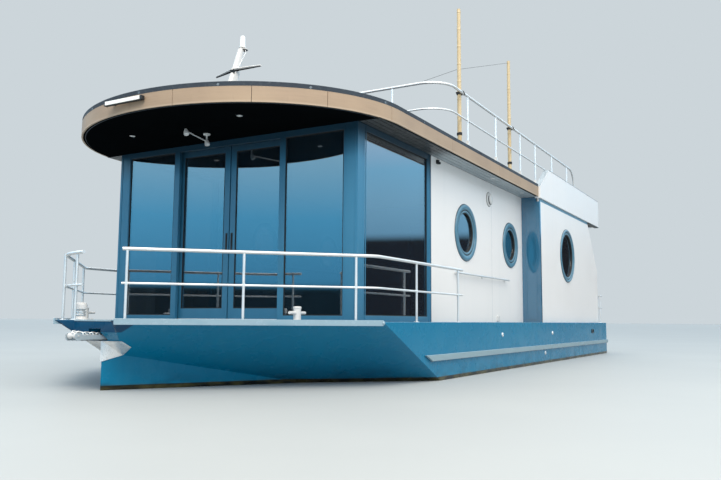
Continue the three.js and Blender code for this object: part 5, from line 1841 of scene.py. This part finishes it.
def makeSternRails():
    s = sternRail
    for name, side in sides.items():
        bm = bmesh.new()
        runs = []
        for z in (s["topZ"], s["midZ"]):
            runs.append(
                (
                    [(s["wingX"], side * s["y1"], z), (s["x"], side * s["y1"], z),
                     (s["x"], side * s["y0"], z)],
                    s["radius"] if z == s["topZ"] else s["midRadius"], 0.08
                )
            )
        feet = [(s["wingX"] - 0.010, s["y1"]), (s["x"], s["y1"] - 0.100), (s["x"], s["y0"] + 0.010)]
        for x, y in feet:
            runs.append(([(x, side * y, hull["deckZ"] + 0.001), (x, side * y, s["topZ"])], 0.013))
        addPipes(bm, runs)
        addCopies(bm, railFlange, [((x, side * y, hull["deckZ"] + 0.0005), (0, 0, 1)) for x, y in feet])
        finishPiece(bm, f"stern_rail_tube_{name}", "polishedTube", [f"stern_rail_{name}"])


ladder = {"x": -6.800, "y0": -1.640, "y1": -1.200, "topZ": 4.500, "rungs": 10, "spacing": 0.260}


def makeLadder():
    bm = bmesh.new()
    z0 = hull["deckZ"]
    runs = [([(ladder["x"], y, z0 + 0.001), (ladder["x"], y, ladder["topZ"])], 0.018)
            for y in (ladder["y0"], ladder["y1"])]
    for k in range(ladder["rungs"]):
        z = z0 + ladder["spacing"] * (k + 1)
        runs.append(([(ladder["x"], ladder["y0"], z), (ladder["x"], ladder["y1"], z)], 0.014))
    addPipes(bm, runs)
    addCopies(bm, railFlange,
              [((ladder["x"], y, z0 + 0.0005), (0, 0, 1)) for y in (ladder["y0"], ladder["y1"])])
    for y in (ladder["y0"], ladder["y1"]):
        addLathe(bm, [(0, 0.010), (0.014, 0.008), (0.018, 0.0), (0.018, -0.002), (0, -0.002)],
                 (ladder["x"], y, ladder["topZ"]), steps=20)
    finishPiece(bm, "roof_ladder_tube", "polishedTube", ["roof_ladder"])
    bm = bmesh.new()
    for k in range(ladder["rungs"]):
        z = z0 + ladder["spacing"] * (k + 1) + 0.013
        addBox(bm, (ladder["x"] - 0.014, ladder["y0"] + 0.030, z - 0.004),
               (ladder["x"] + 0.014, ladder["y1"] - 0.030, z + 0.004))
    finishPiece(bm, "ladder_treads", "mouldedPlastic", bevel=0.002)


sternDoor = {"outerX": -5.650, "y0": 0.306, "y1": 1.054, "z0": 1.248, "windowZ0": 2.350, "windowZ1": 3.050,
             "stile": 0.100, "leverZ": 2.150, "hingeZs": [1.500, 2.250, 3.000]}


def makeSternDoor():
    d = sternDoor
    dressNode("stern_door", "frameCoating", 0.003)
    body = "stern_door_leaf"
    back = d["outerX"]
    bm = bmesh.new()
    left, right = d["y0"] + d["stile"], d["y1"] - d["stile"]
    outer = (left, d["windowZ0"], right, d["windowZ1"])
    inner = (outer[0] + 0.030, outer[1] + 0.030, outer[2] - 0.030, outer[3] - 0.030)
    addFrame(bm, outer, inner, back - 0.008, back + 0.001, "x")
    lower = (left, d["z0"] + 0.150, right, d["windowZ0"] - 0.120)
    lowerInner = (lower[0] + 0.020, lower[1] + 0.020, lower[2] - 0.020, lower[3] - 0.020)
    addFrame(bm, lower, lowerInner, back - 0.005, back + 0.001, "x")
    finishPiece(bm, "stern_door_mouldings", "frameCoating", bevel=0.002, body=body)
    bm = bmesh.new()
    addBox(bm, (back - 0.003, inner[0] - 0.002, inner[1] - 0.002),
           (back - 0.0003, inner[2] + 0.002, inner[3] + 0.002))
    finishPiece(bm, "stern_door_light", "soffitLaminate", body=body)
    bm = bmesh.new()
    y = d["y0"] + 0.060
    z = d["leverZ"]
    addBox(bm, (back - 0.006, y - 0.018, z - 0.090), (back - 0.0003, y + 0.018, z + 0.060))
    addPipes(bm,
             [([(back - 0.004, y, z), (back - 0.045, y, z), (back - 0.045, y + 0.120, z)], 0.009, 0.012)])
    for z in d["hingeZs"]:
        addPipes(
            bm,
            [
                ([(back - 0.004, d["y1"] + 0.004, z - 0.045), (back - 0.004, d["y1"] + 0.004, z + 0.045)],
                 0.008)
            ]
        )
    finishPiece(bm, "stern_door_hardware", "polishedTube", bevel=0.001, body=body)


motor = {"tiltX": -6.960, "tiltZ": 0.900, "steerX": -7.015, "propZ": 0.215, "propRadius": 0.125,
         "legBack": 0.130, "cowlFore": 0.060, "cowlAft": 0.230, "cowlHalf": 0.170}


def makeMotor():
    m = motor
    legX = m["steerX"] - m["legBack"]
    dressNode("outboard_clamp", "castAlloy", 0.004)
    dressNode("outboard_swivel", "castAlloy", 0.003)
    bm = bmesh.new()
    levels = [(0.972, 0.80, 0.86), (0.990, 0.90, 0.94), (1.060, 1.00, 1.00), (1.200, 1.00, 1.00),
              (1.300, 0.97, 0.97), (1.370, 0.88, 0.90), (1.410, 0.66, 0.72), (1.419, 0.35, 0.42)]
    cx = (legX - m["cowlAft"] + m["steerX"] + m["cowlFore"]) / 2
    halfX = (m["steerX"] + m["cowlFore"] - legX + m["cowlAft"]) / 2
    addLoft(
        bm,
        [ovalRing(bm, (cx, 0), halfX * shareX, m["cowlHalf"] * shareY, z, 40, 0.58)
         for z, shareX, shareY in levels]
    )
    finishPiece(bm, "motor_cowl", "cowlLacquer", ["outboard_engine"], body="motor", sharp=70)
    bm = bmesh.new()
    addBox(bm, (cx - halfX * 0.92, -0.158, 1.086), (cx + halfX * 0.92, 0.158, 1.094))
    finishPiece(bm, "cowl_joint", "sealRubber", bevel=0.002, body="motor")
    bm = bmesh.new()
    leg = [(legX - 0.070, 0.385), (legX + 0.055, 0.385), (legX + 0.050, 0.975), (legX - 0.065, 0.975)]
    addPrism(bm, leg, -0.052, 0.052, "y")
    addBox(bm, (legX + 0.040, -0.045, m["tiltZ"] + 0.038), (m["steerX"] + 0.040, 0.045, 0.975))
    addBox(bm, (legX + 0.040, -0.045, 0.585), (m["steerX"] + 0.040, 0.045, 0.632))
    addBox(bm, (legX - 0.190, -0.110, 0.380), (legX + 0.090, 0.110, 0.395))
    skeg = [(legX - 0.050, 0.060), (legX - 0.095, 0.060), (legX - 0.090, 0.400), (legX + 0.060, 0.400),
            (legX + 0.040, 0.160)]
    addPrism(bm, skeg, -0.014, 0.014, "y")
    addLathe(
        bm,
        [(0, -0.100), (0.038, -0.098), (0.050, -0.060), (0.052, 0.020), (0.044, 0.070), (0.024, 0.100),
         (0, 0.110)],
        (legX, 0, m["propZ"]), (1, 0, 0), 28
    )
    finishPiece(bm, "motor_leg", "castAlloy", bevel=0.006, body="motor")
    makePropeller(legX)


def makePropeller(legX):
    # three twisted blades on a hub
    hubX = legX - 0.106
    r = motor["propRadius"]
    bm = bmesh.new()
    addLathe(bm, [(0, 0.0), (0.036, 0.001), (0.038, 0.010), (0.038, 0.080), (0.030, 0.090), (0, 0.090)],
             (hubX, 0, motor["propZ"]), (-1, 0, 0), 28)
    for blade in range(3):
        turn = Matrix.Rotation(2 * math.pi * blade / 3, 3, "X")
        grid = []
        for k in range(7):
            t = k / 6
            reach = 0.030 + t * (r - 0.034)
            chord = 0.048 * math.sin(math.pi * (0.22 + 0.72 * t)) + 0.004
            pitch = math.radians(62 - 34 * t)
            row = []
            for u, thick in ((-1, 0.0), (0, 0.005), (1, 0.0), (0, -0.004)):
                along = u * chord
                x = -0.045 + along * math.cos(pitch) * 0.7 + thick
                y = along * math.sin(pitch)
                row.append(bm.verts.new(Vector((hubX, 0, motor["propZ"])) + turn @ Vector((x, y, reach))))
            grid.append(row)
        addLoft(bm, grid)
    finishPiece(bm, "propeller_blades", "castAlloy", ["outboard_propeller"], body="propeller",
                sharp=60)


makeSternRails()
makeLadder()
makeSternDoor()
makeMotor()
print("stern done")


# Inside, seen through the glass

helm = {"x0": 3.850, "y0": -1.700, "y1": -0.950, "topZ": 2.180, "wheelX": 3.820, "wheelZ": 2.020,
        "wheelRadius": 0.190}


def makeHelm():
    h = helm
    dressNode("helm_console", "oakLaminate", 0.006)
    bm = bmesh.new()
    y = (h["y0"] + h["y1"]) / 2
    rim = [
        (h["wheelX"], y + h["wheelRadius"] * math.sin(2 * math.pi * k / 40),
         h["wheelZ"] + h["wheelRadius"] * math.cos(2 * math.pi * k / 40))
        for k in range(40)
    ]
    runs = [(rim, 0.014, 0, True)]
    for k in range(3):
        a = 2 * math.pi * k / 3
        runs.append(
            (
                [
                    (h["wheelX"], y, h["wheelZ"]),
                    (h["wheelX"], y + h["wheelRadius"] * math.sin(a),
                     h["wheelZ"] + h["wheelRadius"] * math.cos(a))
                ],
                0.009
            )
        )
    addPipes(bm, runs)
    addLathe(
        bm,
        [(0, -0.020), (0.028, -0.018), (0.034, -0.008), (0.032, 0.020), (0.016, 0.030), (0.016, 0.070),
         (0, 0.070)],
        (h["wheelX"], y, h["wheelZ"]), (1, 0, 0), 28
    )
    finishPiece(bm, "helm_wheel_rim", "mouldedPlastic", ["helm_wheel"], body="steering_wheel", sharp=60)
    bm = bmesh.new()
    panel = [(h["x0"] + 0.070, h["topZ"] + 0.002), (h["x0"] + 0.260, h["topZ"] + 0.040),
             (h["x0"] + 0.258, h["topZ"] + 0.050), (h["x0"] + 0.068, h["topZ"] + 0.012)]
    addPrism(bm, panel, h["y0"] + 0.10, h["y1"] - 0.10, "y")
    finishPiece(bm, "helm_panel", "mouldedPlastic", bevel=0.002)


galley = {"x0": -1.200, "x1": 1.300, "y0": -1.935, "y1": -1.330, "topZ": 2.150, "doors": 4,
          "frontZ0": 1.330, "frontZ1": 2.120, "handleZ": 2.050}


def makeGalley():
    g = galley
    dressNode("galley_counter", "cabinWhite", 0.004)
    bm = bmesh.new()
    addBox(bm, (g["x0"] - 0.010, g["y0"], g["topZ"] + 0.0005),
           (g["x1"] + 0.010, g["y1"] + 0.020, g["topZ"] + 0.030))
    finishPiece(bm, "galley_worktop", "oakLaminate", bevel=0.004)
    bm = bmesh.new()
    width = (g["x1"] - g["x0"]) / g["doors"]
    for k in range(g["doors"]):
        x = g["x0"] + k * width
        addBox(bm, (x + 0.008, g["y1"] + 0.0005, g["frontZ0"]),
               (x + width - 0.008, g["y1"] + 0.018, g["frontZ1"]))
    finishPiece(bm, "galley_fronts", "cabinWhite", bevel=0.003)
    bm = bmesh.new()
    bars = []
    for k in range(g["doors"]):
        x = g["x0"] + (k + 0.5) * width
        bars.append(
            (
                [(x - 0.09, g["y1"] + 0.018, g["handleZ"]), (x - 0.09, g["y1"] + 0.045, g["handleZ"]),
                 (x + 0.09, g["y1"] + 0.045, g["handleZ"]), (x + 0.09, g["y1"] + 0.018, g["handleZ"])],
                0.006, 0.010
            )
        )
    addPipes(bm, bars, 10)
    finishPiece(bm, "galley_handles", "polishedTube")


linings = {"floorZ": 1.2402, "plank": 0.180, "gap": 0.004, "x0": -5.590, "x1": 4.530, "stepX": -1.660,
           "half": 1.930, "cabinHalf": 2.270, "ceilingZ": 3.632, "ceilingTop": 3.6395}


def makeLinings():
    # planked floor and a pale ceiling
    bm = bmesh.new()
    count = int(2 * linings["half"] / linings["plank"])
    start = -count * linings["plank"] / 2
    for k in range(count):
        y = start + k * linings["plank"]
        addBox(bm, (linings["stepX"], y + linings["gap"] / 2, linings["floorZ"]),
               (linings["x1"], y + linings["plank"] - linings["gap"] / 2, linings["floorZ"] + 0.006))
    finishPiece(bm, "saloon_floor_planks", "plankFloor")
    bm = bmesh.new()
    rooms = ((linings["stepX"], linings["x1"] - 0.010, linings["half"]),
             (linings["x0"], linings["stepX"] - 0.070, linings["cabinHalf"]))
    for aft, fore, half in rooms:
        addBox(bm, (aft, -half, linings["ceilingZ"]), (fore, half, linings["ceilingTop"]))
    finishPiece(bm, "ceiling_panels", "cabinWhite", bevel=0.002)


makeHelm()
makeGalley()
makeLinings()
print("inside done")


# Studio: floor at the waterline, soft lights, camera

studio = {"waterline": 0.500, "floorHalf": 400.0, "floor": "#a9b0b3", "backdrop": "#ccd5da",
          "skyStrength": 1.2, "glossStrength": 2.9, "softSky": "#f3f4f4", "lowSky": "#8c999f",
          "paleAft": (2.6, 1.25, 1.05, 1.0)}


def makeFloor():
    # pale painted screed, very slightly mottled
    look = startLook("studioFloor", None, studio["floor"], {"Roughness": 0.6, "Specular IOR Level": 0.2})
    tint(look, (2500, (0.4, 0.7)), "#b0b7b9", 0.5)
    bm = bmesh.new()
    half = studio["floorHalf"]
    corners = [(-half, -half), (half, -half), (half, half), (-half, half)]
    bm.faces.new([bm.verts.new((x, y, studio["waterline"])) for x, y in corners])
    mesh = bpy.data.meshes.new("studio_floor")
    bm.to_mesh(mesh)
    bm.free()
    mesh.materials.append(look["material"])
    floor = bpy.data.objects.new("studio_floor", mesh)
    bpy.context.scene.collection.objects.link(floor)


def makeWorld():
    # soft sky: plain and pale to the eye and for plain light
    # what is glossy sees a dark low band under blue and white
    world = bpy.data.worlds.new("studioSky")
    bpy.context.scene.world = world
    world.use_nodes = True
    tree = world.node_tree
    ground = tree.nodes["Background"]
    direction = addNode(tree, "ShaderNodeTexCoord").outputs["Generated"]
    part = addNode(tree, "ShaderNodeSeparateXYZ", {"Vector": direction})
    lowBand = addNode(tree, "ShaderNodeMapRange", {
        "Value": part.outputs["X"], "From Min": -0.95, "From Max": 0.6, "To Min": 0.105, "To Max": 0.035,
    })
    height = addNode(tree, "ShaderNodeMath", {0: part.outputs["Z"], 1: lowBand.outputs["Result"]},
                     operation="SUBTRACT")
    ramp = addNode(tree, "ShaderNodeValToRGB", {"Fac": height.outputs[0]})
    stops = [(0.0, "#0c1214"), (0.004, "#0f1a1d"), (0.014, "#3c7fa6"), (0.10, "#4b97c0"), (0.22, "#8fb9d0"),
             (0.42, "#cfdde5"), (1.0, "#f6f9fb")]
    elements = ramp.color_ramp.elements
    while len(elements) < len(stops):
        elements.new(0.5)
    for element, (place, colour) in zip(elements, stops):
        element.position = place
        element.color = hexColour(colour)
    rise = addNode(tree, "ShaderNodeMapRange",
                   {"Value": part.outputs["Z"], "From Min": 0.02, "From Max": 0.35})
    soft = addNode(tree, "ShaderNodeMix", {
        0: rise.outputs["Result"], 6: hexColour(studio["lowSky"]), 7: hexColour(studio["softSky"]),
    }, data_type="RGBA")
    aft = addNode(tree, "ShaderNodeMapRange",
                  {"Value": part.outputs["X"], "From Min": 0.3, "From Max": -0.7})
    low = addNode(tree, "ShaderNodeMapRange",
                  {"Value": part.outputs["Z"], "From Min": 0.34, "From Max": 0.16})
    where = addNode(tree, "ShaderNodeMath", {0: aft.outputs["Result"], 1: low.outputs["Result"]},
                    operation="MULTIPLY")
    pale = addNode(tree, "ShaderNodeMix", {
        0: where.outputs["Value"], 6: ramp.outputs["Color"], 7: studio["paleAft"],
    }, data_type="RGBA", blend_type="MULTIPLY")
    rays = addNode(tree, "ShaderNodeLightPath")
    power = studio["skyStrength"]
    colour = soft.outputs[2]
    for ray, layer, strength in (("Is Glossy Ray", pale.outputs[2], studio["glossStrength"]),
                                 ("Is Camera Ray", hexColour(studio["backdrop"]), 1.0)):
        mix = addNode(tree, "ShaderNodeMix", {0: rays.outputs[ray], 6: colour, 7: layer}, data_type="RGBA")
        level = addNode(tree, "ShaderNodeMapRange",
                        {"Value": rays.outputs[ray], "To Min": power, "To Max": strength})
        colour = mix.outputs[2]
        power = level.outputs["Result"]
    tree.links.new(colour, ground.inputs["Color"])
    tree.links.new(power, ground.inputs["Strength"])


softLights = [
    ("keySoft", (17.0, 10.0, 20.0), (0.0, 1.0, 2.0), 14.0, 4700.0, "#fff1e0"),
    ("fillSoft", (6.0, 24.0, 16.0), (-1.0, 0.0, 2.0), 14.0, 1400.0, "#fff8f0"),
]


def makeLight(name, place, target, size, power, colour):
    data = bpy.data.lights.new(name, "AREA")
    data.shape = "DISK"
    data.size = size
    data.energy = power
    data.color = hexColour(colour)[:3]
    lamp = bpy.data.objects.new(name, data)
    bpy.context.scene.collection.objects.link(lamp)
    lamp.location = place
    lamp.rotation_euler = (Vector(target) - Vector(place)).to_track_quat("-Z", "Y").to_euler()


view = {"place": (12.172, 6.335, 1.260), "yaw": 209.774, "pitch": 6.187, "roll": 0.420, "lens": 36.93}


def makeCamera():
    yaw, pitch, roll = (math.radians(view[k]) for k in ("yaw", "pitch", "roll"))
    forward = Vector((math.cos(yaw) * math.cos(pitch), math.sin(yaw) * math.cos(pitch), math.sin(pitch)))
    level = forward.cross(Vector((0, 0, 1))).normalized()
    upright = level.cross(forward)
    right = level * math.cos(roll) + upright * math.sin(roll)
    up = upright * math.cos(roll) - level * math.sin(roll)
    data = bpy.data.cameras.new("photoCamera")
    data.lens = view["lens"]
    data.sensor_width = 36.0
    data.clip_end = 2000.0
    camera = bpy.data.objects.new("photoCamera", data)
    bpy.context.scene.collection.objects.link(camera)
    turn = Matrix((right, up, -forward)).transposed().to_4x4()
    camera.matrix_world = Matrix.Translation(view["place"]) @ turn
    bpy.context.scene.camera = camera


makeFloor()
makeWorld()
for lamp in softLights:
    makeLight(*lamp)
makeCamera()
bpy.context.scene.view_settings.view_transform = "Standard"
print("studio done")
